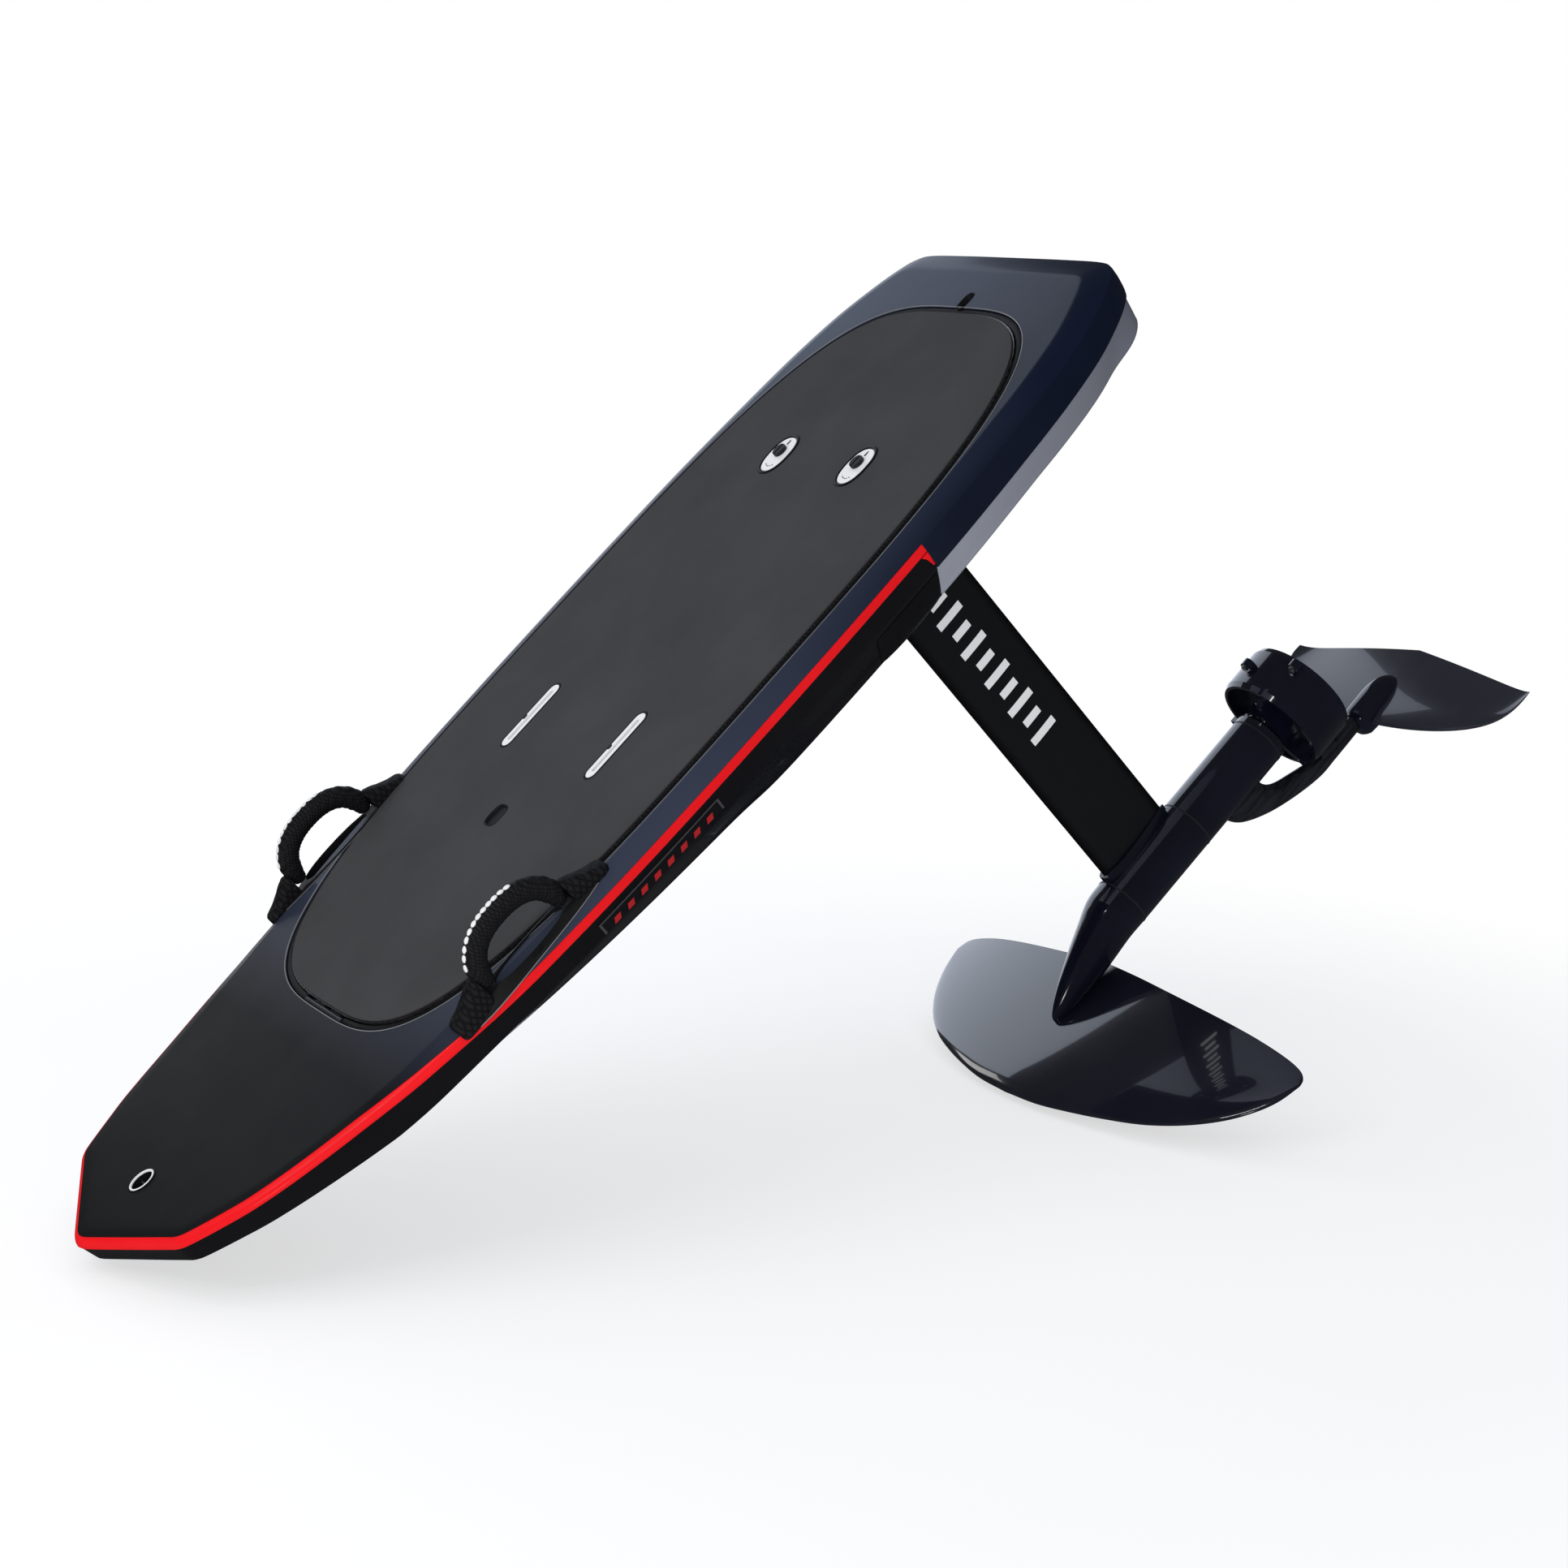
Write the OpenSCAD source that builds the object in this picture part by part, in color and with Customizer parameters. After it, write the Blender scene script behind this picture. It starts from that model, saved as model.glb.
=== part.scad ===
// Electric hydrofoil board: a board with a hatch over its battery bay, a mast, and a driven foil.
// Millimetres. +X points to the nose, +Y to port and +Z up. The wing's tips rest at Z = 0.

/* [Board] */
// Length of the board from nose to tail
board_len = 1750; // [1500:10:2050]
// Greatest width of the board
board_w = 700; // [640:5:820]
// Depth of the board amidships
board_t = 112; // [104:1:135]
// Height that the nose rises above the flat deck
nose_rise = 40; // [0:1:60]
// Thickness of the deck skin
deck_skin = 12; // [10:0.5:14]
// Thickness of the hull skin
hull_skin = 6; // [3:0.5:10]
// Thickness of the rail wall
rail_wall = 8; // [5:0.5:12]
// Height of the coloured stripe along the rail
stripe_h = 18; // [10:1:22]
// Depth of the deck's skirt around the tail
skirt_h = 52; // [40:1:60]
// Distance from the middle of the board back to the front end of the skirt
skirt_start = 390; // [300:5:390]

/* [Hatch] */
// Length of the hatch lid
lid_len = 1222; // [1150:2:1300]
// Width of the hatch lid
lid_w = 604; // [540:2:606]
// Distance from the middle of the board back to the middle of the lid
lid_back = 146; // [130:1:160]
// Thickness of the lid panel
lid_t = 10; // [8:0.5:10]
// Thickness of the foam deck pad
pad_t = 3; // [2:0.5:5]
// Width of the rubber seal around the lid
seal_w = 10; // [8:0.5:12]
// Radius of the hinge pin
hinge_pin_r = 2; // [1.5:0.1:2.5]
// Width of the whole hinge
hinge_w = 120; // [100:2:160]

/* [Latches] */
// Distance between the two latches
latch_gap = 200; // [190:2:220]
// Distance from the middle of the board back to the latch shafts
latch_back = 483; // [475:1:490]
// Length of a latch plate
latch_plate_len = 62; // [50:1:70]
// Width of a latch plate
latch_plate_w = 46; // [40:1:50]
// Radius of a latch knob
knob_r = 10; // [8:0.5:14]
// Radius of a latch shaft
latch_shaft_r = 5; // [4:0.1:6]

/* [Strap tracks] */
// Distance between the two strap tracks
track_gap = 249; // [200:1:300]
// Length of a strap track
track_len = 108; // [90:1:130]
// Width of a strap track
track_w = 20; // [16:0.5:26]
// Length of the slot in a strap track
track_slot_len = 88; // [60:1:100]
// Width of the slot in a strap track
track_slot_w = 7; // [5:0.5:9]

/* [Battery bay] */
// Length of the battery bay
bay_len = 500; // [420:5:520]
// Width of the battery bay
bay_w = 300; // [260:2:320]
// Thickness of the bay tub's walls
tub_wall = 3; // [2:0.5:4]
// Clearance around the battery
battery_gap = 6; // [3:0.5:12]

/* [Handles] */
// Distance between the two carrying handles
handle_gap = 610; // [600:2:640]
// Distance from the middle of the board forward to the middle of a handle
handle_fwd = 280; // [265:5:300]
// Radius of the padded grip
grip_r = 10.5; // [8:0.5:12]
// Length of the grip's arch between its feet
grip_span = 129; // [110:1:150]
// Height of the grip's axis above its pivots
grip_rise = 45; // [35:1:55]
// Radius of the handle's pivot studs
pivot_r = 4; // [3:0.1:5]

/* [Mast] */
// Length of the mast below the hull
mast_len = 653; // [500:5:900]
// Chord of the mast
mast_chord = 130; // [110:1:150]
// Thickness of the mast
mast_t = 16; // [14:0.5:20]
// Distance from the middle of the board back to the middle of the mast
mast_back = 482; // [478:1:486]
// Radius of the cable channel in the mast
cable_channel_r = 5; // [3:0.1:5.5]

/* [Motor pod] */
// Outer diameter of the motor pod
pod_d = 82; // [76:1:90]
// Wall of the motor pod
pod_wall = 4; // [3:0.5:5]
// Length of the motor pod
pod_len = 326; // [300:1:360]
// Radius of the motor shaft
shaft_r = 5; // [4:0.1:6]

/* [Duct and propeller] */
// Outer diameter of the duct ring
duct_d = 168; // [160:1:180]
// Wall of the duct ring
duct_wall = 8; // [5:0.5:9]
// Length of the duct ring
duct_len = 76; // [60:1:80]
// Diameter of the propeller
prop_d = 144; // [120:1:144]
// Number of propeller blades
blade_count = 3; // [2:1:4]

/* [Foil] */
// Span of the front wing
wing_span = 830; // [700:5:1000]
// Chord of the front wing at its root
wing_chord = 235; // [200:1:240]
// Thickness of the front wing at its root
wing_t = 21; // [18:0.5:24]
// Drop of the front wing's tips
wing_drop = 58; // [44:1:70]
// Span of the stabiliser
stab_span = 510; // [400:5:600]
// Chord of the stabiliser at its root
stab_chord = 145; // [130:1:150]
// Thickness of the stabiliser at its root
stab_t = 12; // [10:0.5:14]

/* [Hidden] */
$fn = 48;

// Clearance of a running fit, measured on the radius
run_gap = 0.05;
// Gap between pieces that only lie near each other
near_gap = 0.3;
// A length that runs clean through what it cuts
through = 400;

half_len = board_len / 2;
half_w = board_w / 2;
// Foil heights, measured down from the flat deck
hull_z = -board_t;
plate_t = 10;
mast_top_z = hull_z - plate_t;
mast_foot_z = hull_z - mast_len;
pod_r = pod_d / 2;
saddle_h = 8;
pod_z = mast_foot_z - saddle_h - pod_r;
wing_root_z = pod_z - pod_r - 11 - wing_t / 2 + 7;
mast_x = -mast_back;
pod_front_x = mast_x + 70;
pod_back_x = pod_front_x - pod_len;
// Foil stations fore and aft
nose_cone_len = 190;
duct_front_x = pod_back_x - 20;
duct_back_x = duct_front_x - duct_len;
boom_z = pod_z - duct_d / 2 - 28;
mount_z = boom_z - 6;
mount_r = 26;
stab_te_x = duct_back_x - 188;
floor_z = mount_z - mount_r;
wing_te_x = pod_front_x + 67;
// The frame's origin lies under the middle of the whole object's length
shift_x = -(half_len + stab_te_x) / 2;

// Half width of the board against its length, as shares from tail to nose
PLAN = [
    [-1, 0.60], [-0.985, 0.70], [-0.93, 0.78], [-0.86, 0.86], [-0.77, 0.92], [-0.68, 0.95], [-0.52, 0.98],
    [-0.34, 0.998], [-0.17, 1], [0, 0.992], [0.175, 0.966], [0.32, 0.93], [0.45, 0.888], [0.584, 0.84],
    [0.716, 0.76], [0.80, 0.68], [0.85, 0.62], [0.915, 0.525], [0.95, 0.325], [0.985, 0.115], [1, 0.012]
];
// Depth of the board against its length, as shares of its depth amidships
DEPTH = [
    [-1, 0.86], [-0.86, 1], [-0.17, 1], [0, 0.92], [0.32, 0.76], [0.584, 0.60], [0.80, 0.47], [0.95, 0.40],
    [1, 0.38]
];
rise_start = 0.54;
// Share of the half width at which the flat bottom ends
CHINE = 0.84;
edge_drop = 12;
edge_in = 26;

function half_at(t) = half_w * lookup(t, PLAN);
function depth_at(t) = board_t * lookup(t, DEPTH);
function rise(t) = nose_rise * pow(max(0, t - rise_start) / (1 - rise_start), 1.6);
// The deck's height between stations follows straight lines, so every board solid meets its neighbour
STATIONS = [for (p = PLAN) p[0]];
RISE = [for (t = STATIONS) [t, rise(t)]];
function deck_at(t) = lookup(t, RISE);
function sleeve_stations(back, front) =
    concat([back], [for (t = STATIONS) if (t > back + 0.001 && t < front - 0.001) t], [front]);
function mirrored(pts) = concat(pts, [for (i = [len(pts) - 1:-1:0]) [-pts[i][0], pts[i][1]]]);

// One ring of the board's outer form at station t
function outer_ring(t) =
    let (w = half_at(t), d = depth_at(t), z = deck_at(t), e = min(edge_in, w * 0.5))
    [for (p = mirrored([[w - e, z], [w, z - edge_drop], [w, z - edge_drop - stripe_h],
                        [w - min(5, w * 0.2), z - min(skirt_h, d * 0.8)], [w * CHINE, z - d]]))
        [t * half_len, p[0], p[1]]];
// One ring of the board's hollow inner form at station t; lift raises its top clear of the deck skin
nose_slant = 2.3;
wall_step = 3;
function wall_at(t) = t > 0.9 || t < -0.9 ? rail_wall * nose_slant : rail_wall;
function inner_ring(t, lift) =
    let (w = half_at(t) - wall_at(t), d = depth_at(t), z = deck_at(t))
    [for (p = mirrored([[w, z - deck_skin + lift], [w, z - edge_drop - stripe_h + wall_step],
                        [w - 5, z - min(skirt_h, d * 0.8)],
                        [min(w - 6, (w + wall_at(t)) * CHINE - hull_skin), z - d + hull_skin]]))
        [t * half_len, p[0], p[1]]];
// One ring of a layer of the board between two depths below the deck
function layer_ring(t, top, bottom) =
    [for (p = [[half_w + 50, -top], [half_w + 50, -bottom], [-half_w - 50, -bottom], [-half_w - 50, -top]])
        [t * half_len, p[0], deck_at(t) + p[1]]];

// A closed solid through a list of rings with equal numbers of points
module loft(rings) {
    n = len(rings);
    m = len(rings[0]);
    sides = [for (i = [0:n - 2], j = [0:m - 1])
        each [[i * m + j, (i + 1) * m + (j + 1) % m, (i + 1) * m + j],
              [i * m + j, i * m + (j + 1) % m, (i + 1) * m + (j + 1) % m]]];
    polyhedron(
        points = [for (r = rings) each r],
        faces = concat(sides, [[for (j = [m - 1:-1:0]) j]], [[for (j = [0:m - 1]) (n - 1) * m + j]])
    );
}

// Moves a piece from the board's own axes, with Z = 0 on the deck, to the frame
module placed() {
    translate([shift_x, 0, -floor_z]) children();
}

module both_sides() {
    children();
    mirror([0, 1, 0]) children();
}

// A round bar along X from x0 to x1
module bar_x(x0, x1, r) {
    translate([min(x0, x1), 0, 0]) rotate([0, 90, 0]) cylinder(h = abs(x1 - x0), r = r);
}

// A hole or post along Z from z0 to z1
module post(x, y, z0, z1, r) {
    translate([x, y, z0]) cylinder(h = z1 - z0, r = r);
}

// A box between two corners
module block(low, high) {
    translate(low) cube(high - low);
}

// Oval outline with rounded ends
module rounded(len, w, power = 3.4, steps = 96) {
    polygon([for (i = [0:steps - 1]) let (a = 360 * i / steps)
        [len / 2 * sign(cos(a)) * pow(abs(cos(a)), 2 / power), w / 2 * sign(sin(a)) * pow(abs(sin(a)), 2 / power)]]);
}

// Plate with half-round ends along X, between two heights
module stadium(x, y, len, w, z0, z1) {
    block([x - (len - w) / 2, y - w / 2, z0], [x + (len - w) / 2, y + w / 2, z1]);
    for (s = [-1, 1]) post(x + s * (len - w) / 2, y, z0, z1, w / 2);
}

/* ---- Board ---- */
module board_outer() { loft([for (t = STATIONS) outer_ring(t)]); }
inner_back = -1 + rail_wall / half_len;
inner_front = 1 - 30 / half_len;
module board_inner(lift = 0) { loft([for (t = sleeve_stations(inner_back, inner_front)) inner_ring(t, lift)]); }
module layer(top, bottom, back = -1.02, front = 1.02) {
    loft([for (t = sleeve_stations(back, front)) layer_ring(t, top, bottom)]);
}
skirt_t = -skirt_start / half_len;

lid_x = -lid_back;
module lid_oval(grow, z0, z1) {
    translate([lid_x, 0, z0]) linear_extrude(z1 - z0) rounded(lid_len + 2 * grow, lid_w + 2 * grow);
}

leash_x = half_len - 107;
leash_z = deck_at(leash_x / half_len);
leash_r = 15;
leash_depth = 26;
leash_tilt = -7;
module at_leash() { translate([leash_x, 0, leash_z]) rotate([0, leash_tilt, 0]) children(); }
module leash_well() { at_leash() translate([0, 0, -leash_depth]) cylinder(h = leash_depth + 20, r = leash_r + 3); }

finger_x = lid_x - lid_len / 2 - seal_w - 12;
module finger_slot(z0, z1) { stadium(finger_x, 0, 32, 10, z0, z1); }
finger_depth = 8;

module deck_shell() {
    color([0.13, 0.16, 0.26]) placed() difference() {
        union() {
            intersection() {
                board_outer();
                layer(-5, deck_skin);
            }
            difference() {
                intersection() {
                    board_outer();
                    layer(deck_skin, skirt_h, -1.02, skirt_t);
                }
                board_inner(wall_step);
            }
        }
        lid_oval(seal_w, -deck_skin - 1, 5);
        leash_well();
        finger_slot(-finger_depth, 5);
        block([hinge_x - knuckle_r, -hinge_w / 2 - 1, -50], [hinge_x + knuckle_r + 1, hinge_w / 2 + 1, 50]);
    }
}

module rail_stripe() {
    color([0.9, 0.06, 0.08]) placed() difference() {
        intersection() {
            board_outer();
            layer(deck_skin, edge_drop + stripe_h, skirt_t, 1.02);
        }
        board_inner(wall_step);
    }
}

box_len = 186;
box_w = 92;
box_top_z = -54;
module mast_box_body(grow = 0) {
    block([mast_x - box_len / 2 - grow, -box_w / 2 - grow, hull_z - grow * 5],
          [mast_x + box_len / 2 + grow, box_w / 2 + grow, box_top_z + grow]);
}

module hull_shell() {
    color([0.06, 0.06, 0.07]) placed() difference() {
        intersection() {
            board_outer();
            layer(edge_drop + stripe_h, 250, skirt_t, 1.02);
        }
        board_inner(wall_step);
        mast_box_body();
    }
}

module tail_pan() {
    color([0.62, 0.64, 0.69]) placed() difference() {
        intersection() {
            board_outer();
            layer(skirt_h, 250, -1.02, skirt_t);
        }
        board_inner(wall_step);
        mast_box_body();
    }
}

// The tub: a deep bay for the battery and a shallow pocket behind it for the controller
bay_front_x = 130;
bay_back_x = bay_front_x - bay_len;
pocket_back_x = mast_x - 38;
bay_floor_z = -depth_at(bay_front_x / half_len) + hull_skin + tub_wall + 2;
pocket_floor_z = -46;
flange_t = 3;
flange_z = -deck_skin;
// Recess under the flange that the latch cams swing into
strike_in = 14;
strike_floor_z = -28;
module tub_form(grow, top) {
    block([bay_back_x - grow, -bay_w / 2 - grow, bay_floor_z - grow], [bay_front_x + grow, bay_w / 2 + grow, top]);
    block([pocket_back_x - grow, -bay_w / 2 - grow, pocket_floor_z - grow], [bay_front_x, bay_w / 2 + grow, top]);
    block([pocket_back_x - strike_in - grow, -bay_w / 2 - grow, strike_floor_z - grow],
          [pocket_back_x, bay_w / 2 + grow, flange_z - flange_t]);
}
cable_x = mast_x + 17;
module cable_bore(z0, z1, r = cable_channel_r) { post(cable_x, 0, z0, z1, r); }

module bay_tub() {
    color([0.1, 0.1, 0.11]) placed() difference() {
        union() {
            lid_oval(seal_w - near_gap, flange_z - flange_t, flange_z);
            tub_form(tub_wall, flange_z);
        }
        tub_form(0, flange_z + 1);
        cable_bore(-through, 0);
    }
}

module hinge_room() {
    block([hinge_x - knuckle_r, -hinge_w / 2 - near_gap, flange_z - flange_t],
          [hinge_x + knuckle_r, hinge_w / 2 + near_gap, 0]);
}

module foam_core() {
    color([0.95, 0.95, 0.93]) placed() difference() {
        board_inner();
        lid_oval(seal_w, flange_z - flange_t, flange_z + 5);
        hinge_room();
        tub_form(tub_wall, flange_z + 1);
        mast_box_body();
        leash_well();
        cable_bore(-through, 0);
    }
}

label_len = 205;
label_mid_x = 108;
label_turn = -4;
module label_panels() {
    label_y = half_at(label_mid_x / half_len);
    color([0.03, 0.03, 0.03]) placed() both_sides() difference() {
        translate([label_mid_x, label_y - 5, -58]) rotate([0, 0, label_turn])
            translate([-label_len / 2, 0, 0]) cube([label_len, 7, 24]);
        board_outer();
        translate([0, near_gap, 0]) board_outer();
    }
}

guard_back_x = -388;
guard_len = 116;
module chine_guards() {
    guard_y = half_w * CHINE;
    color([0.04, 0.04, 0.05]) placed() both_sides() difference() {
        block([guard_back_x, guard_y - 22, hull_z - 7], [guard_back_x + guard_len, guard_y + 13, hull_z + 24]);
        board_outer();
        translate([0, near_gap, -near_gap]) board_outer();
    }
}

// The seal is lower beside the hinge, where the lid's edge swings forward
seal_low_w = 64;
seal_low_z = -7.5;
module lid_seal() {
    color([0.02, 0.02, 0.02]) placed() difference() {
        lid_oval(seal_w, flange_z, -1.5);
        lid_oval(near_gap, -50, 50);
        block([hinge_x - 12, -hinge_w / 2 - 2, -50], [hinge_x + 20, hinge_w / 2 + 2, 50]);
        block([hinge_x - 20, -hinge_w / 2 - seal_low_w, seal_low_z], [hinge_x + 20, hinge_w / 2 + seal_low_w, 50]);
    }
}

/* ---- Hatch lid and hinge ---- */
knuckle_r = 4.5;
hinge_x = lid_x + lid_len / 2 + 6;
hinge_z = -knuckle_r;
// The hinge's width is shared by three fixed knuckles and two lid knuckles
fixed_mid = 20;
fixed_end = 18;
knuckle_gap = 0.5;
module knuckles(spans, r) {
    for (s = spans) translate([hinge_x, s[1], hinge_z]) rotate([90, 0, 0]) cylinder(h = s[1] - s[0], r = r);
}
FIXED_SPANS = [[-hinge_w / 2, -hinge_w / 2 + fixed_end], [-fixed_mid / 2, fixed_mid / 2],
               [hinge_w / 2 - fixed_end, hinge_w / 2]];
LEAF_SPANS = [[-hinge_w / 2 + fixed_end + knuckle_gap, -fixed_mid / 2 - knuckle_gap],
              [fixed_mid / 2 + knuckle_gap, hinge_w / 2 - fixed_end - knuckle_gap]];

module hinge_base() {
    color([0.2, 0.2, 0.22]) placed() difference() {
        union() {
            knuckles(FIXED_SPANS, knuckle_r);
            for (s = FIXED_SPANS)
                block([hinge_x - knuckle_r, s[0], flange_z], [hinge_x + knuckle_r - 1, s[1], hinge_z]);
        }
        knuckles([[-hinge_w, hinge_w]], hinge_pin_r);
    }
}

module hinge_pin() {
    color([0.7, 0.7, 0.72]) placed() knuckles([[-hinge_w / 2, hinge_w / 2]], hinge_pin_r);
}

leaf_t = 2;
leaf_in = 26;
module leaf_plate() {
    block([hinge_x - 6 - leaf_in, LEAF_SPANS[0][0], -lid_t], [hinge_x - 6, LEAF_SPANS[1][1], -lid_t + leaf_t]);
}
module hinge_leaf() {
    color([0.2, 0.2, 0.22]) placed() difference() {
        union() {
            leaf_plate();
            knuckles(LEAF_SPANS, knuckle_r);
            for (s = LEAF_SPANS)
                block([hinge_x - 6.01, s[0], -lid_t], [hinge_x - 1, s[1], hinge_z]);
        }
        knuckles([[-hinge_w, hinge_w]], hinge_pin_r + run_gap);
    }
}

plate_mid_x = -latch_back + 4.5;
bezel_w = 5;
module latch_oval(grow, z0, z1) {
    for (s = [-1, 1]) translate([plate_mid_x, s * latch_gap / 2, z0])
        linear_extrude(z1 - z0) rounded(latch_plate_len + 2 * grow, latch_plate_w + 2 * grow, 2.3, 64);
}
module at_latches() { for (s = [-1, 1]) translate([-latch_back, s * latch_gap / 2, 0]) children(); }
module at_tracks() { for (s = [-1, 1]) translate([3, s * track_gap / 2, 0]) children(); }
key_slot_x = 149;
track_depth = 7;

module lid_panel() {
    color([0.07, 0.07, 0.08]) placed() difference() {
        lid_oval(0, -lid_t, 0);
        leaf_plate();
        at_latches() post(0, 0, -50, 50, latch_shaft_r + run_gap);
        at_tracks() stadium(0, 0, track_len, track_w, -track_depth, 5);
        stadium(key_slot_x, 0, 34, 14, -4, 5);
    }
}

module deck_pad() {
    color([0.24, 0.24, 0.25]) placed() difference() {
        lid_oval(-2, 0, pad_t);
        latch_oval(bezel_w + near_gap, -5, 20);
        at_tracks() stadium(0, 0, track_len + 6.6, track_w + 6.6, -5, 20);
        stadium(key_slot_x, 0, 34, 14, -5, 20);
    }
}

module latch_bezels() {
    color([0.02, 0.02, 0.02]) placed() difference() {
        latch_oval(bezel_w, 0, pad_t + 1.5);
        latch_oval(0, -5, 20);
    }
}

module latch_plates() {
    color([0.95, 0.95, 0.95]) placed() difference() {
        latch_oval(-0.1, 0, pad_t + 1);
        at_latches() post(0, 0, -50, 50, latch_shaft_r + run_gap);
    }
}

knob_h = 5;
cam_t = 3;
cam_z = flange_z - flange_t - 1;
cam_reach = -latch_back - pocket_back_x + strike_in - 4;
// A latch: knob, shaft and cam in one piece, with its cam turned inboard, clear of the flange
module latch(side) {
    color([0.03, 0.03, 0.03]) placed() translate([-latch_back, side * latch_gap / 2, 0]) {
        difference() {
            post(0, 0, pad_t + 1.2, pad_t + 1.2 + knob_h, knob_r);
            block([-knob_r, -1.5, pad_t + knob_h - 1], [knob_r, 1.5, 30]);
        }
        post(0, 0, cam_z - cam_t, pad_t + 1.2, latch_shaft_r);
        post(0, 0, cam_z - cam_t, cam_z, latch_shaft_r + 4);
        rotate([0, 0, -90 * side]) block([0, -6, cam_z - cam_t], [cam_reach, 6, cam_z]);
    }
}
module latch_port() { latch(1); }
module latch_starboard() { latch(-1); }

module strap_tracks() {
    color([0.95, 0.95, 0.95]) placed() difference() {
        at_tracks() stadium(0, 0, track_len, track_w, -track_depth, pad_t + 0.5);
        at_tracks() stadium(0, 0, track_slot_len, track_slot_w, -track_depth + 2, 20);
        at_tracks() stadium(0, 0, track_slot_len + 4, track_slot_w + 5, -track_depth + 2, -1);
    }
}

/* ---- Nose leash cup ---- */
module leash_cup() {
    color([0.02, 0.02, 0.02]) placed() at_leash() difference() {
        translate([0, 0, -leash_depth]) cylinder(h = leash_depth - 1, r = leash_r + 3);
        translate([0, 0, -leash_depth + 3]) cylinder(h = leash_depth, r = leash_r);
        translate([0, 40, -9]) rotate([90, 0, 0]) cylinder(h = 80, r = leash_bar_r);
    }
}
leash_bar_r = 2.5;
module leash_bar() {
    color([0.75, 0.75, 0.77]) placed() at_leash()
        translate([0, leash_r + 2, -9]) rotate([90, 0, 0]) cylinder(h = 2 * leash_r + 4, r = leash_bar_r);
}
module leash_rim() {
    color([0.95, 0.95, 0.95]) placed() at_leash() difference() {
        translate([0, 0, -1]) cylinder(h = 2.4, r = leash_r + 3);
        translate([0, 0, -2]) cylinder(h = 5, r = leash_r);
    }
}

/* ---- Handles ---- */
handle_y = handle_gap / 2;
boot_t = 2;
pivot_z = 13;
anchor_len = 44;
anchor_w = 24;
corner_r = grip_rise;
pivot_reach = grip_span / 2 + 24;
module boot_outline(grow) {
    rounded(grip_span + 2 * anchor_len + 8 + 2 * grow, 34 + 2 * grow, 2.6, 64);
}
module handle_boots() {
    color([0.02, 0.02, 0.02]) placed() both_sides() translate([handle_fwd, handle_y, 0]) difference() {
        linear_extrude(boot_t) boot_outline(0);
        translate([0, 0, -1]) linear_extrude(10) rounded(grip_span - 34, 24, 2.2, 48);
    }
}
module anchor_pair(side) {
    color([0.05, 0.05, 0.05]) placed() translate([handle_fwd, side * handle_y, 0]) for (s = [-1, 1])
        mirror([s < 0 ? 1 : 0, 0, 0]) difference() {
            union() {
                translate([grip_span / 2 + 13, 0, pivot_z]) bar_x(0, 14, pivot_r + 5);
                block([grip_span / 2 + 13, -anchor_w / 2, boot_t], [grip_span / 2 + anchor_len - anchor_w / 2, anchor_w / 2, 7]);
                block([grip_span / 2 + 13, -pivot_r - 5, boot_t], [grip_span / 2 + 27, pivot_r + 5, pivot_z]);
                post(grip_span / 2 + anchor_len - anchor_w / 2, 0, boot_t, 7, anchor_w / 2);
            }
            translate([0, 0, pivot_z]) bar_x(0, pivot_reach + near_gap, pivot_r + run_gap);
            post(grip_span / 2 + anchor_len - 10, 0, -5, 20, 3);
        }
}
module anchors_port() { anchor_pair(1); }
module anchors_starboard() { anchor_pair(-1); }
module anchor_screws() {
    color([0.3, 0.3, 0.32]) placed() both_sides() for (s = [-1, 1])
        translate([handle_fwd + s * (grip_span / 2 + anchor_len - 10), handle_y, 0]) difference() {
            union() {
                post(0, 0, boot_t, 7, 3);
                post(0, 0, 7, 9.5, 6);
            }
            translate([0, 0, 8]) cylinder(h = 5, r = 2.5, $fn = 6);
        }
}

// The grip: an arch of round padding on two straight studs
module grip(side) {
    feet = grip_span / 2;
    color([0.05, 0.05, 0.05]) placed() translate([handle_fwd, side * handle_y, pivot_z]) {
        for (s = [-1, 1]) mirror([s < 0 ? 1 : 0, 0, 0]) {
            translate([feet - corner_r, 0, 0]) rotate([90, 0, 0]) rotate_extrude(angle = 90)
                translate([corner_r, 0]) circle(r = grip_r);
            bar_x(feet, pivot_reach, pivot_r);
        }
        translate([0, 0, corner_r]) bar_x(-(feet - corner_r), feet - corner_r, grip_r);
    }
}
module handle_port() { grip(1); }
module handle_starboard() { grip(-1); }

/* ---- Power inside the board ---- */
bat_back_x = bay_back_x + battery_gap + 4;
bat_front_x = bay_front_x - battery_gap;
bat_half_w = bay_w / 2 - battery_gap;
bat_top_z = -24;
module battery_pack() {
    color([0.16, 0.17, 0.2]) placed()
        block([bat_back_x, -bat_half_w, bay_floor_z], [bat_front_x, bat_half_w, bat_top_z]);
}
module battery_grips() {
    color([0.03, 0.03, 0.03]) placed() for (x = [bat_back_x + 60, bat_front_x - 60]) difference() {
        block([x - 10, -60, bat_top_z], [x + 10, 60, bat_top_z + 9]);
        block([x - 20, -45, bat_top_z - 1], [x + 20, 45, bat_top_z + 5]);
    }
}
plug_z = -34;
plug_y = 70;
box_front_x = mast_x + 94;
module battery_plug() {
    color([0.8, 0.5, 0.1]) placed() translate([0, plug_y, plug_z]) difference() {
        bar_x(bat_back_x, bat_back_x - 22, 9);
        bar_x(bat_back_x - 10, bat_back_x - 30, 3);
    }
}
module controller_box() {
    color([0.45, 0.46, 0.48]) placed() difference() {
        block([pocket_back_x + 8, -55, pocket_floor_z + 4], [box_front_x, 55, -22]);
        cable_bore(-through, 0);
    }
}
module cooling_plate() {
    color([0.7, 0.71, 0.73]) placed() difference() {
        block([pocket_back_x + 4, -60, pocket_floor_z], [box_front_x + 4, 60, pocket_floor_z + 4]);
        cable_bore(-through, 0);
    }
}
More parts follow.
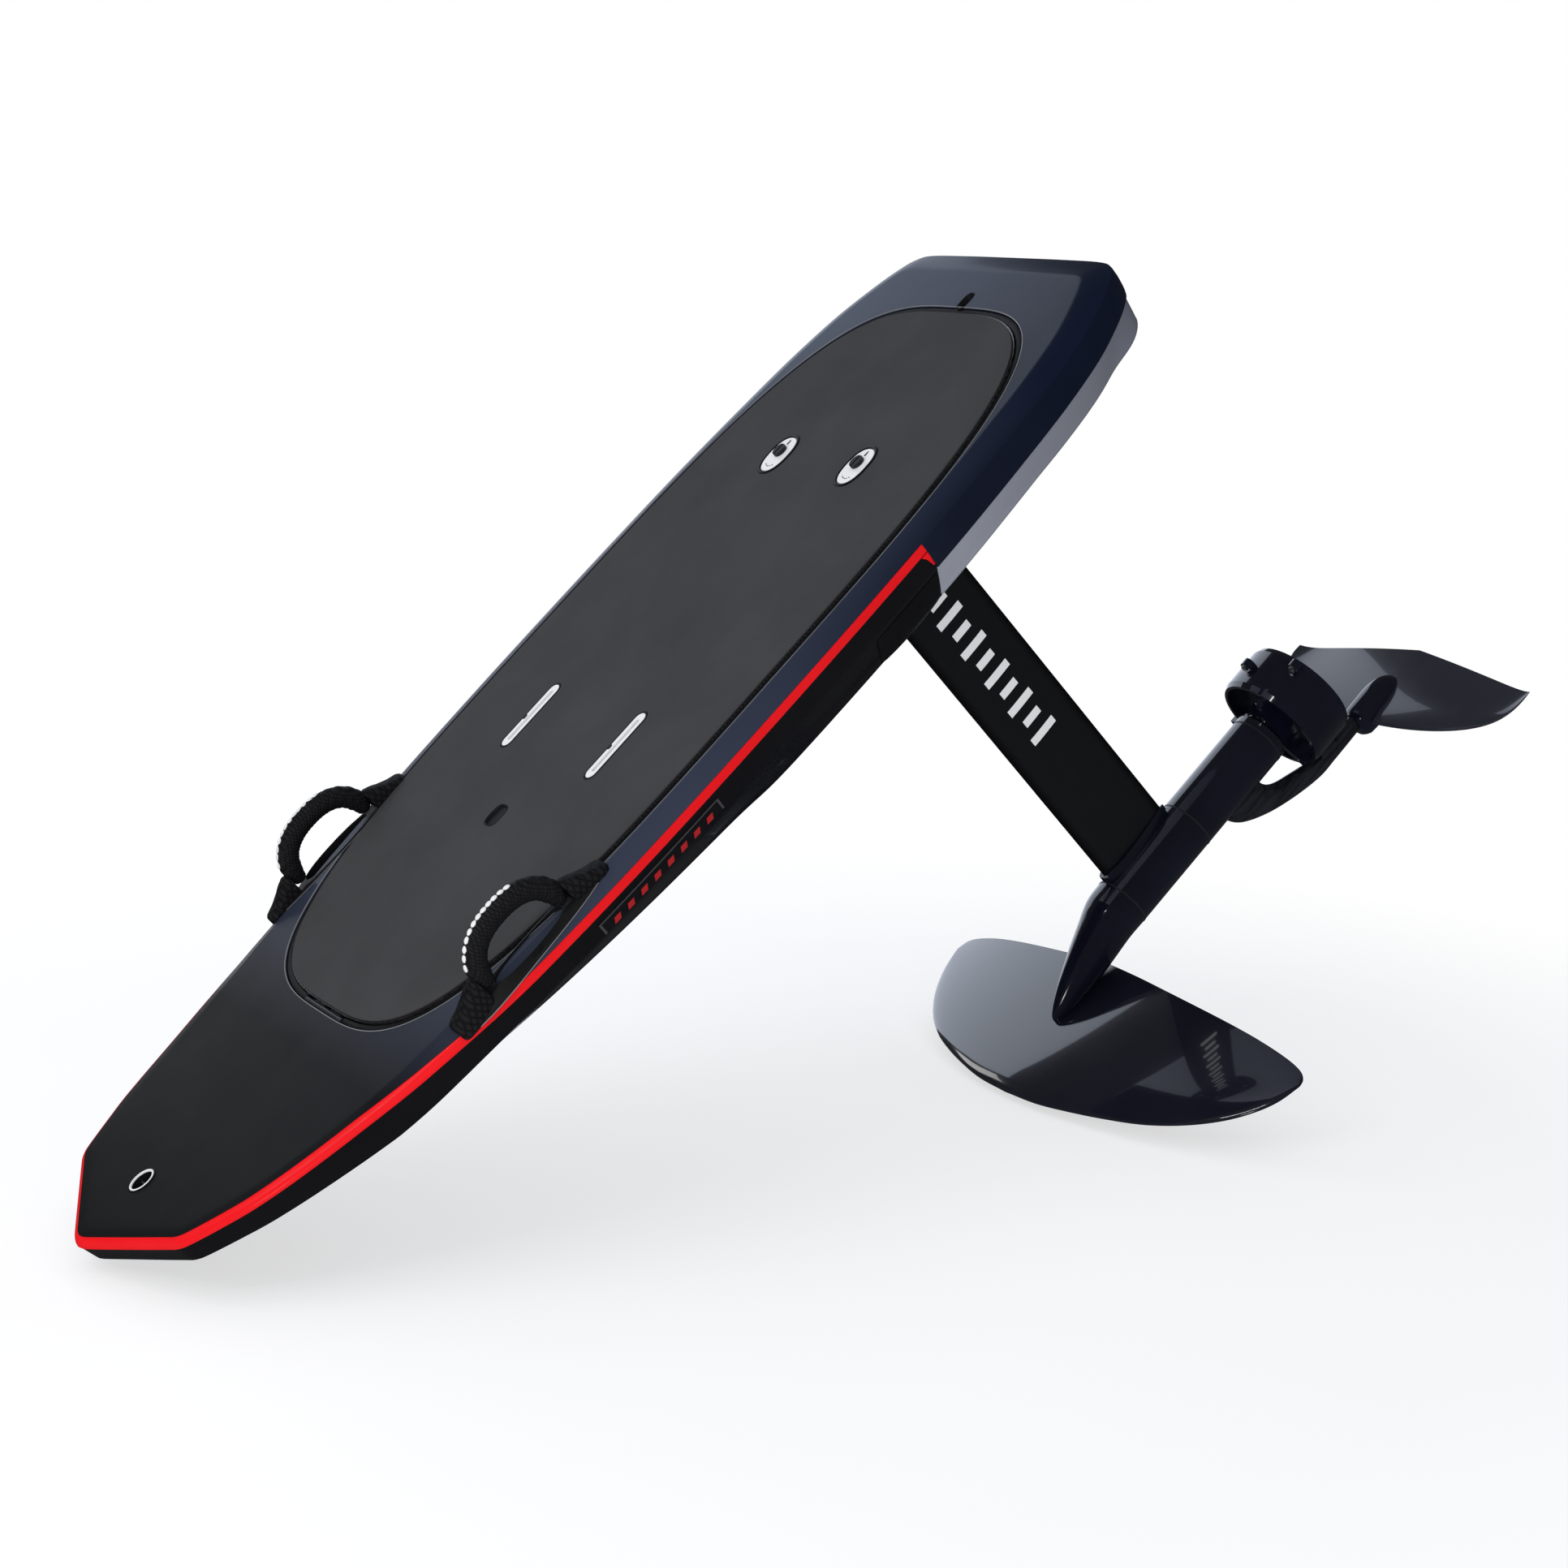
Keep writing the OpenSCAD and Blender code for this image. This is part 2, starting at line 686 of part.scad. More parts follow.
module power_leads() {
    color([0.8, 0.1, 0.1]) placed() {
        translate([0, plug_y, plug_z]) {
            bar_x(bat_back_x - 10, box_front_x - 20, 3);
            translate([box_front_x - 20, 0, 0]) rotate([90, 0, 0]) cylinder(h = plug_y - 55, r = 3);
        }
    }
}

/* ---- Mast ---- */
BOLTS_X = 64;
BOLTS_Y = 31;
module bolt_places() { for (i = [-1, 1], j = [-1, 1]) translate([mast_x + i * BOLTS_X, j * BOLTS_Y, 0]) children(); }
module mast_box() {
    color([0.55, 0.56, 0.58]) placed() difference() {
        mast_box_body();
        cable_bore(-through, 0);
        bolt_places() post(0, 0, hull_z - 1, hull_z + 34, 4);
    }
}
module mast_top_plate() {
    color([0.06, 0.06, 0.07]) placed() difference() {
        block([mast_x - 82, -42, mast_top_z], [mast_x + 82, 42, hull_z]);
        cable_bore(-through, 0);
        bolt_places() post(0, 0, mast_top_z - 1, hull_z + 1, 4);
        bolt_places() post(0, 0, mast_top_z - 1, mast_top_z + 5, 7);
    }
}
module mast_bolts() {
    color([0.75, 0.75, 0.77]) placed() bolt_places() difference() {
        union() {
            post(0, 0, mast_top_z + 5, hull_z + 32, 4);
            post(0, 0, mast_top_z, mast_top_z + 5, 7);
        }
        translate([0, 0, mast_top_z - 1]) cylinder(h = 4, r = 3, $fn = 6);
    }
}
module mast_collar() {
    color([0.03, 0.03, 0.03]) placed() difference() {
        translate([mast_x + 4, 0, hull_z - plate_t - 2]) linear_extrude(plate_t + 2) rounded(240, 124, 2.6, 64);
        block([mast_x - 82.5, -42.5, -through], [mast_x + 82.5, 42.5, 0]);
    }
}

// Symmetrical foil outline with its leading edge at x = 0 and its tail at x = -chord
function foil_y(u, t) = 5 * t * (0.2969 * sqrt(u) - 0.126 * u - 0.3516 * u * u + 0.2843 * u * u * u - 0.1036 * u * u * u * u);
FOIL_STEPS = 14;
function foil_u(i) = 0.5 - 0.5 * cos(180 * i / FOIL_STEPS);
module foil_outline(chord, t) {
    polygon(concat(
        [for (i = [0:FOIL_STEPS]) [-chord * foil_u(i), foil_y(foil_u(i), t) + 0.35 * foil_u(i)]],
        [for (i = [FOIL_STEPS:-1:1]) [-chord * foil_u(i), -foil_y(foil_u(i), t) - 0.35 * foil_u(i)]]
    ));
}
module mast() {
    color([0.05, 0.055, 0.07]) placed() difference() {
        translate([mast_x + mast_chord / 2, 0, mast_foot_z]) linear_extrude(mast_top_z - mast_foot_z)
            foil_outline(mast_chord, mast_t);
        cable_bore(-through * 4, 0);
    }
}
module mast_cable() {
    color([0.1, 0.1, 0.1]) placed() cable_bore(pod_z + pod_r - 14, pocket_floor_z + 10, cable_channel_r - 0.5);
}
module mast_saddle() {
    color([0.04, 0.045, 0.06]) placed() difference() {
        union() {
            translate([mast_x + mast_chord / 2 + 4, 0, pod_z]) linear_extrude(mast_foot_z - pod_z)
                foil_outline(mast_chord + 8, 26);
            translate([mast_x + mast_chord / 2 + 6, 0, mast_foot_z - 4]) linear_extrude(4 + 6)
                foil_outline(mast_chord + 12, 27);
        }
        translate([mast_x + mast_chord / 2, 0, mast_foot_z]) linear_extrude(20) foil_outline(mast_chord, mast_t);
        translate([0, 0, pod_z]) bar_x(-2000, 2000, pod_r);
        cable_bore(-through * 4, 0);
    }
}

/* ---- Pod, motor and shaft ---- */
pod_inner_r = pod_r - pod_wall;
module on_shaft() { translate([0, 0, pod_z]) children(); }
module pod_shell() {
    color([0.05, 0.06, 0.08]) placed() difference() {
        on_shaft() bar_x(pod_back_x, pod_front_x, pod_r);
        on_shaft() bar_x(pod_back_x - 1, pod_front_x - 8, pod_inner_r);
        cable_bore(pod_z, pod_z + 100);
    }
}
motor_front_x = pod_front_x - 90;
motor_len = 120;
rotor_r = 23.5;
stator_in_r = 24.2;
module motor_stator() {
    color([0.65, 0.4, 0.2]) placed() on_shaft() difference() {
        bar_x(motor_front_x - motor_len, motor_front_x, pod_inner_r);
        bar_x(motor_front_x - motor_len - 1, motor_front_x + 1, stator_in_r);
    }
}
module motor_rotor() {
    color([0.5, 0.5, 0.55]) placed() on_shaft() difference() {
        bar_x(motor_front_x - motor_len + 6, motor_front_x - 6, rotor_r);
        bar_x(motor_front_x - motor_len, motor_front_x, shaft_r);
    }
}
cap_len = 34;
hub_front_x = pod_back_x - cap_len - 1;
hub_len = 46;
hub_r = 23;
shaft_end_x = hub_front_x - hub_len - 14;
module motor_shaft() {
    color([0.75, 0.75, 0.78]) placed() on_shaft() bar_x(shaft_end_x, motor_front_x + 22, shaft_r);
}
BEARINGS = [motor_front_x + 8, motor_front_x - motor_len - 20];
bearing_len = 12;
module shaft_bearings() {
    color([0.7, 0.7, 0.72]) placed() on_shaft() for (x = BEARINGS) difference() {
        bar_x(x, x + bearing_len, pod_inner_r);
        bar_x(x - 1, x + bearing_len + 1, shaft_r + run_gap);
    }
}
module shaft_seal() {
    color([0.02, 0.02, 0.02]) placed() on_shaft() difference() {
        bar_x(pod_back_x - 8, pod_back_x + 2, 12);
        bar_x(pod_back_x - 20, pod_back_x + 20, shaft_r + run_gap);
    }
}
module pod_tail_cap() {
    color([0.05, 0.06, 0.08]) placed() on_shaft() difference() {
        union() {
            bar_x(pod_back_x, pod_back_x + 16, pod_inner_r);
            translate([pod_back_x, 0, 0]) rotate([0, -90, 0]) cylinder(h = 6, r1 = pod_r, r2 = collar_in_r);
            bar_x(pod_back_x - cap_len, pod_back_x - 6, collar_in_r);
        }
        bar_x(pod_back_x - 8, pod_back_x + 20, 12);
        bar_x(pod_back_x - 50, pod_back_x + 20, shaft_r + 1);
    }
}
collar_in_r = 34;

// The front of the fuselage: from the round pod down to a fine tip on the wing
NOSE = [[0, 0, 41, 41], [0.16, -1, 40, 40], [0.35, -10, 33, 36], [0.55, -20, 27, 31.5], [0.75, -29, 20, 23],
        [0.9, -37, 12, 15], [0.98, -42, 6, 9], [1, -44, 2, 5]];
nose_steps = 20;
function nose_ring(s) = [for (i = [0:nose_steps - 1]) let (a = -360 * i / nose_steps, k = pod_r / 41)
    [pod_front_x + s[0] * nose_cone_len, s[2] * k * cos(a), pod_z + s[1] * k + s[3] * k * sin(a)]];
module fuselage_nose() {
    color([0.05, 0.06, 0.08]) placed() difference() {
        loft([for (s = NOSE) nose_ring(s)]);
        wing_form();
        wing_screw_places() post(0, 0, wing_root_z - 40, wing_root_z + 26, 4);
    }
}

/* ---- Duct and propeller ---- */
duct_r = duct_d / 2;
duct_in_r = duct_r - duct_wall;
module duct_ring() {
    ear_r = 9;
    color([0.05, 0.06, 0.08]) placed() on_shaft() difference() {
        union() {
            translate([duct_front_x, 0, 0]) rotate([0, -90, 0]) {
                cylinder(h = 8, r1 = duct_r - 3, r2 = duct_r);
                translate([0, 0, 8]) cylinder(h = duct_len - 16, r = duct_r);
                translate([0, 0, duct_len - 8]) cylinder(h = 8, r1 = duct_r, r2 = duct_r - 3);
            }
            for (e = EARS) rotate([e[0], 0, 0]) translate([e[1], 0, duct_r + 6])
                rotate([0, 90, 0]) cylinder(h = 12, r = ear_r);
            for (e = EARS) rotate([e[0], 0, 0])
                block([e[1], -ear_r, duct_r - 6], [e[1] + 12, ear_r, duct_r + 6]);
        }
        bar_x(duct_back_x - 1, duct_front_x + 1, duct_in_r);
        vane_screw_holes(2.5, duct_in_r - 5);
        for (e = EARS) rotate([e[0], 0, 0]) translate([0, 0, duct_r + 7]) bar_x(e[1] - 1, e[1] + 13, 3);
    }
}
// Each ear's turn from straight up, and its place along the duct
EARS = [[6, duct_back_x + 36], [-38, duct_back_x + 8]];
VANE_TURNS = [90, -30, -150];
module vane_screw_holes(r, from) {
    for (a = VANE_TURNS) rotate([a, 0, 0]) post(duct_front_x - 10, 0, from, duct_r + 1, r);
}
module duct_vanes() {
    color([0.04, 0.04, 0.05]) placed() on_shaft() difference() {
        union() {
            bar_x(pod_back_x - cap_len, pod_back_x - 7, collar_in_r + 4);
            intersection() {
                for (a = VANE_TURNS) rotate([a, 0, 0])
                    block([duct_front_x - 16, -5, collar_in_r], [pod_back_x - 8, 5, duct_r]);
                bar_x(duct_back_x, pod_back_x, duct_in_r);
            }
        }
        bar_x(duct_back_x - 50, pod_back_x + 50, collar_in_r);
        vane_screw_holes(2.5, duct_in_r - 16);
    }
}
module duct_bolts() {
    color([0.75, 0.75, 0.77]) placed() on_shaft() {
        for (a = VANE_TURNS) rotate([a, 0, 0]) post(duct_front_x - 10, 0, duct_in_r - 15, duct_r, 2.5);
        for (e = EARS) rotate([e[0], 0, 0]) translate([0, 0, duct_r + 7]) {
            bar_x(e[1], e[1] + 12, 3);
            bar_x(e[1] + 12, e[1] + 15, 5);
        }
    }
}
module duct_bracket() {
    color([0.04, 0.04, 0.05]) placed() difference() {
        block([duct_back_x + 14, -11, boom_z], [duct_back_x + 46, 11, pod_z - duct_in_r]);
        on_shaft() bar_x(duct_back_x - 100, duct_front_x + 100, duct_r);
        boom_form();
    }
}

blade_root_r = hub_r - 1;
BLADE = [[0, 15, 62, 5], [0.3, 19, 50, 4], [0.6, 20, 38, 3], [0.85, 15, 30, 2.4], [1, 5, 27, 1.6]];
blade_reach = prop_d / 2 - blade_root_r;
function blade_ring(s) = [for (i = [0:7]) let (a = -360 * i / 8, u = s[1] * cos(a), v = s[3] * sin(a))
    [u * cos(s[2]) - v * sin(s[2]), u * sin(s[2]) + v * cos(s[2]), blade_root_r + s[0] * blade_reach]];
module propeller() {
    color([0.06, 0.06, 0.07]) placed() on_shaft() difference() {
        union() {
            bar_x(hub_front_x - hub_len, hub_front_x, hub_r);
            translate([hub_front_x - hub_len, 0, 0]) rotate([0, -90, 0]) cylinder(h = 20, r1 = hub_r, r2 = 8);
            for (k = [0:blade_count - 1]) rotate([360 * k / blade_count, 0, 0])
                translate([hub_front_x - hub_len / 2, 0, 0]) loft([for (s = BLADE) blade_ring(s)]);
        }
        bar_x(shaft_end_x, hub_front_x + 1, shaft_r);
    }
}

/* ---- Tail boom, stabiliser and front wing ---- */
stab_root_z = mount_z - 3;
stab_le_x = stab_te_x + stab_chord;
// The boom's upper and lower edges, measured from the pod's front end and axis
BOOM = [[-278, -36, -194, -36], [-280, -54, -213, -66], [-294, -70, -252, -92], [-323, -82, -300, -111],
        [-371, -98, -353, -124], [-400, -99, -392, -125], [-453, -99, -453, -125]];
boom_half_y = [15, 15, 14, 13, 13, 13, 12];
function boom_ring(b, half_y) =
    let (mid_x = (b[0] + b[2]) / 2, mid_z = (b[1] + b[3]) / 2, up_x = b[0] - mid_x, up_z = b[1] - mid_z)
    [for (i = [0:15]) let (a = -360 * i / 16)
        [pod_front_x + mid_x + up_x * sin(a), half_y * cos(a), pod_z + mid_z + up_z * sin(a)]];
module boom_form() { loft([for (i = [len(BOOM) - 1:-1:0]) boom_ring(BOOM[i], boom_half_y[i])]); }
module tail_boom() {
    color([0.05, 0.06, 0.08]) placed() difference() {
        boom_form();
        on_shaft() bar_x(-3000, 0, pod_r);
    }
}
mount_len = 98;
module stab_mount() {
    color([0.05, 0.06, 0.08]) placed() difference() {
        translate([stab_le_x + 12, 0, mount_z]) rotate([0, -90, 0]) rotate_extrude() polygon(concat(
            [[0, 0], [mount_r - 3, 0], [mount_r, 8], [mount_r, 48]],
            [for (a = [15:15:90]) [mount_r * cos(a) , 48 + (mount_len - 48) * sin(a)]]
        ));
        stab_form();
        stab_screw_places() post(0, 0, -3000, mount_z + 8, 3);
        stab_screw_places() post(0, 0, -3000, mount_z - 14, 5);
    }
}

// One chordwise ring of a wing: leading edge, chord, thickness, height and side
WING_STEPS = 8;
function wing_u(i) = 0.5 - 0.5 * cos(180 * i / WING_STEPS);
function wing_ring(le, chord, t, y, z) = concat(
    [for (i = [0:WING_STEPS]) let (u = wing_u(i)) [le - chord * u, y, z + 1.2 * t / 2 * foil_y(u, 1) / 0.5 + 0.4 * u]],
    [for (i = [WING_STEPS - 1:-1:1]) let (u = wing_u(i)) [le - chord * u, y, z - 0.8 * t / 2 * foil_y(u, 1) / 0.5 - 0.4 * u]]
);
WING_ROWS = [-1, -0.985, -0.94, -0.87, -0.76, -0.62, -0.45, -0.25, 0, 0.25, 0.45, 0.62, 0.76, 0.87, 0.94, 0.985, 1];
wing_tip_share = 0.05;
wing_le_x = wing_te_x + wing_chord;
function wing_row(u) =
    let (te = wing_te_x + 45 * abs(u), full = wing_le_x - te - 6 * u * u,
         chord = full * (wing_tip_share + (1 - wing_tip_share) * pow(max(0, 1 - pow(abs(u), 2.5)), 0.5)))
    wing_ring(te + chord, chord, wing_t * (0.12 + 0.88 * pow(max(0, 1 - pow(abs(u), 2)), 0.6)), u * wing_span / 2,
              wing_root_z - wing_drop * u * u);
module wing_screw_places() { for (x = [-135, -170]) translate([wing_le_x + x, 0, 0]) children(); }
module wing_form() { loft([for (u = WING_ROWS) wing_row(u)]); }
module front_wing() {
    color([0.07, 0.08, 0.1]) placed() difference() {
        wing_form();
        wing_screw_places() post(0, 0, wing_root_z - 40, wing_root_z + 40, 4);
        wing_screw_places() post(0, 0, wing_root_z - 40, wing_root_z - 3, 7);
    }
}
module wing_screws() {
    color([0.75, 0.75, 0.77]) placed() wing_screw_places() difference() {
        union() {
            post(0, 0, wing_root_z - 3, wing_root_z + 25, 4);
            post(0, 0, wing_root_z - 7, wing_root_z - 3, 7);
        }
        translate([0, 0, wing_root_z - 8]) cylinder(h = 3, r = 3, $fn = 6);
    }
}

function stab_row(u) =
    let (te = stab_te_x + 30 * abs(u), full = stab_le_x - te,
         chord = full * (0.16 + 0.84 * pow(max(0, 1 - pow(abs(u), 2.2)), 0.5)))
    wing_ring(te + chord, chord, stab_t * (0.25 + 0.75 * (1 - u * u)), u * stab_span / 2,
              stab_root_z - 15 * u * u + 12 * pow(abs(u), 12));
module stab_screw_places() { for (x = [-32, -66]) translate([stab_le_x + x, 0, 0]) children(); }
module stab_form() { loft([for (u = WING_ROWS) stab_row(u)]); }
module stabiliser() {
    color([0.16, 0.17, 0.2]) placed() difference() {
        stab_form();
        stab_screw_places() post(0, 0, stab_root_z - 30, stab_root_z + 30, 3);
    }
}
module stab_screws() {
    color([0.75, 0.75, 0.77]) placed() stab_screw_places() {
        post(0, 0, mount_z - 14, mount_z + 7, 3);
        post(0, 0, mount_z - 18, mount_z - 14, 5);
    }
}

deck_shell();
hull_shell();
tail_pan();
foam_core();
rail_stripe();
label_panels();
chine_guards();
bay_tub();
lid_seal();
hinge_base();
hinge_pin();
leash_cup();
leash_rim();
leash_bar();
handle_boots();
anchors_port();
anchors_starboard();
anchor_screws();
battery_pack();
battery_grips();
battery_plug();
controller_box();
cooling_plate();
power_leads();
mast_box();
mast_collar();
mast_top_plate();
mast_bolts();
mast();
mast_cable();
mast_saddle();
pod_shell();
fuselage_nose();
motor_stator();
shaft_bearings();
shaft_seal();
pod_tail_cap();
duct_ring();
duct_vanes();
duct_bolts();
duct_bracket();
tail_boom();
stab_mount();
stabiliser();
stab_screws();
front_wing();
wing_screws();
lid_panel();
deck_pad();
hinge_leaf();
latch_plates();
latch_bezels();
strap_tracks();
latch_port();
latch_starboard();
handle_port();
handle_starboard();
motor_rotor();
motor_shaft();
propeller();
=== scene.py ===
"""Looks of an electric hydrofoil board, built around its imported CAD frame.

Every size is in metres. The board's own axes run +X to the nose, +Y to port and
+Z up, with Z = 0 on the flat deck; `Frame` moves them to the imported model's axes.
"""

import logging
import math
from dataclasses import dataclass, field
from enum import Enum
from typing import Callable, Optional, Sequence, Union

import bmesh
import bpy
import numpy as np
from mathutils import Matrix, Vector

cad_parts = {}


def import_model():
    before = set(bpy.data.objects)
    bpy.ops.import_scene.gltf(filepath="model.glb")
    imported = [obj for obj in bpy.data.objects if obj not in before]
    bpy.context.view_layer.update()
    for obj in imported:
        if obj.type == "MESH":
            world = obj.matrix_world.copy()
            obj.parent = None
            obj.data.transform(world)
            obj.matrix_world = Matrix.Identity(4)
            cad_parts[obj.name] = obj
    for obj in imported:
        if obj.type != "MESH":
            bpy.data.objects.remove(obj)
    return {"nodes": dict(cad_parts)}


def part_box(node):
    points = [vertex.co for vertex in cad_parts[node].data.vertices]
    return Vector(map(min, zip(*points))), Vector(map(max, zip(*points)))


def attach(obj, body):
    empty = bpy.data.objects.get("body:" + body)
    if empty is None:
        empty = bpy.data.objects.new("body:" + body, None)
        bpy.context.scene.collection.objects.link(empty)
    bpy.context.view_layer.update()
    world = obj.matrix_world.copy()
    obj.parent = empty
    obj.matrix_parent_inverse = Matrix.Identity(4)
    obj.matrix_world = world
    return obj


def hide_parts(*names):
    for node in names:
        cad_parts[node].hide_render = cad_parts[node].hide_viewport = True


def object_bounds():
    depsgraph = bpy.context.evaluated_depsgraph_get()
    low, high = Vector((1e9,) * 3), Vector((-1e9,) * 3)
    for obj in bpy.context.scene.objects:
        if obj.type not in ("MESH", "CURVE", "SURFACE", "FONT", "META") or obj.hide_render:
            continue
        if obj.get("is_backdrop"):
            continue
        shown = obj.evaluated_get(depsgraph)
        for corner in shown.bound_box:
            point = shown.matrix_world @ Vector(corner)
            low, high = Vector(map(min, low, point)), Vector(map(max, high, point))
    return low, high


LOG = logging.getLogger("board")
Colour = tuple[float, float, float]
Rings = list[np.ndarray]
Number = Union[float, "Wire"]
HATCH_CENTRE = (-0.146, 0.0)


# --------------------------------------------------------------------------
# Shader tools
# --------------------------------------------------------------------------


class Wire:
    """One output socket, with arithmetic that adds Math nodes."""

    def __init__(self, tree: bpy.types.NodeTree, socket: bpy.types.NodeSocket) -> None:
        """Keeps the tree and the socket."""
        self.tree = tree
        self.socket = socket

    def _maths(self, operation: str, *values: Number) -> "Wire":
        """Adds one Math node on the given values."""
        made = self.tree.nodes.new("ShaderNodeMath")
        made.operation = operation
        for index, value in enumerate(values):
            if isinstance(value, Wire):
                self.tree.links.new(value.socket, made.inputs[index])
            else:
                made.inputs[index].default_value = value
        return Wire(self.tree, made.outputs[0])

    def __add__(self, other: Number) -> "Wire":
        """Sum."""
        return self._maths("ADD", self, other)

    __radd__ = __add__

    def __sub__(self, other: Number) -> "Wire":
        """Difference."""
        return self._maths("SUBTRACT", self, other)

    def __rsub__(self, other: Number) -> "Wire":
        """Reflected difference."""
        return self._maths("SUBTRACT", other, self)

    def __mul__(self, other: Number) -> "Wire":
        """Product."""
        return self._maths("MULTIPLY", self, other)

    __rmul__ = __mul__

    def __truediv__(self, other: Number) -> "Wire":
        """Quotient."""
        return self._maths("DIVIDE", self, other)

    def __rtruediv__(self, other: Number) -> "Wire":
        """Reflected quotient."""
        return self._maths("DIVIDE", other, self)

    def sine(self) -> "Wire":
        """Sine of the value in radians."""
        return self._maths("SINE", self)

    def fraction(self) -> "Wire":
        """The part after the decimal point."""
        return self._maths("FRACT", self)

    def size(self) -> "Wire":
        """Absolute value."""
        return self._maths("ABSOLUTE", self)

    def above(self, limit: Number) -> "Wire":
        """1 where the value is above the limit, else 0."""
        return self._maths("GREATER_THAN", self, limit)

    def below(self, limit: Number) -> "Wire":
        """1 where the value is below the limit, else 0."""
        return self._maths("LESS_THAN", self, limit)

    def least(self, other: Number) -> "Wire":
        """The smaller of the two values."""
        return self._maths("MINIMUM", self, other)

    def most(self, other: Number) -> "Wire":
        """The larger of the two values."""
        return self._maths("MAXIMUM", self, other)

    def ramp(self, low: float, high: float) -> "Wire":
        """Straight ramp from 0 at low to 1 at high, held outside."""
        return ((self - low) / (high - low)).least(1.0).most(0.0)


class Nodes:
    """A node tree and the one method that adds nodes to it."""

    def __init__(self, tree: bpy.types.NodeTree) -> None:
        """Keeps the tree."""
        self.tree = tree

    def node(
        self, kind: str, settings: Optional[dict] = None, inputs: Optional[dict] = None
    ) -> bpy.types.Node:
        """Adds a node.

        Args:
            kind: the node's type.
            settings: attributes, set first.
            inputs: socket name or index to a value or a wire.

        Returns:
            The new node.
        """
        made = self.tree.nodes.new(kind)
        for key, value in (settings or {}).items():
            setattr(made, key, value)
        for key, value in (inputs or {}).items():
            self.feed(made.inputs[key], value)
        return made

    def feed(self, socket: bpy.types.NodeSocket, value: Union[float, tuple, Wire]) -> None:
        """Links a wire to a socket, or sets the socket's value; colours may leave out alpha."""
        if isinstance(value, Wire):
            self.tree.links.new(value.socket, socket)
        elif isinstance(value, tuple) and socket.type == "RGBA":
            socket.default_value = (*value, 1.0)
        else:
            socket.default_value = value

    def wire(self, made: bpy.types.Node, output: Union[str, int] = 0) -> Wire:
        """The wire that leaves a node's output."""
        return Wire(self.tree, made.outputs[output])


class Paint(Nodes):
    """One material under construction."""

    def __init__(self, name: str) -> None:
        """Starts a material with its Principled shader."""
        self.material = bpy.data.materials.new(name)
        self.material.use_nodes = True
        super().__init__(self.material.node_tree)
        self.shader = self.tree.nodes["Principled BSDF"]
        self.place = self.wire(self.node("ShaderNodeTexCoord"), "Object")

    def noise(self, scale: float, detail: float = 3.0, stretch: Sequence[float] = (1.0, 1.0, 1.0)) -> Wire:
        """Noise from 0 to 1 over the piece.

        Args:
            scale: features in a metre.
            detail: octaves.
            stretch: scale of each axis.

        Returns:
            The noise value.
        """
        spot = self.node("ShaderNodeMapping", inputs={"Vector": self.place, "Scale": tuple(stretch)})
        made = self.node(
            "ShaderNodeTexNoise", inputs={"Vector": self.wire(spot), "Scale": scale, "Detail": detail}
        )
        return self.wire(made)

    def axes(self) -> tuple[Wire, Wire, Wire]:
        """The X, Y and Z of the point on the piece."""
        made = self.node("ShaderNodeSeparateXYZ", inputs={0: self.place})
        return self.wire(made, 0), self.wire(made, 1), self.wire(made, 2)

    def mix(self, share: Number, first: Union[Colour, Wire], second: Union[Colour, Wire]) -> Wire:
        """Mixes two colours.

        Args:
            share: weight of the second.
            first: colour at 0.
            second: colour at 1.

        Returns:
            The mixed colour.
        """
        made = self.node("ShaderNodeMix", {"data_type": "RGBA"}, {0: share, 6: first, 7: second})
        return self.wire(made, 2)

    def set(self, name: str, value: Union[float, Colour, Wire]) -> None:
        """Sets or links one socket of the shader."""
        self.feed(self.shader.inputs[name], value)

    def bump(self, height: Wire, depth: float, strength: float = 1.0) -> None:
        """Feeds a height into the shader's normal.

        Args:
            height: value from 0 to 1.
            depth: metres from 0 to 1.
            strength: share of the effect.
        """
        made = self.node(
            "ShaderNodeBump", inputs={"Height": height, "Distance": depth, "Strength": strength}
        )
        self.tree.links.new(made.outputs[0], self.shader.inputs["Normal"])


class Texture(Enum):
    """The named surface patterns of plain finishes."""

    GRAIN = "grain"
    BRUSHED = "brushed"
    TWILL = "twill"
    GROOVES = "grooves"
    BRAID = "braid"
    WINDINGS = "windings"
    LACQUER = "lacquer"


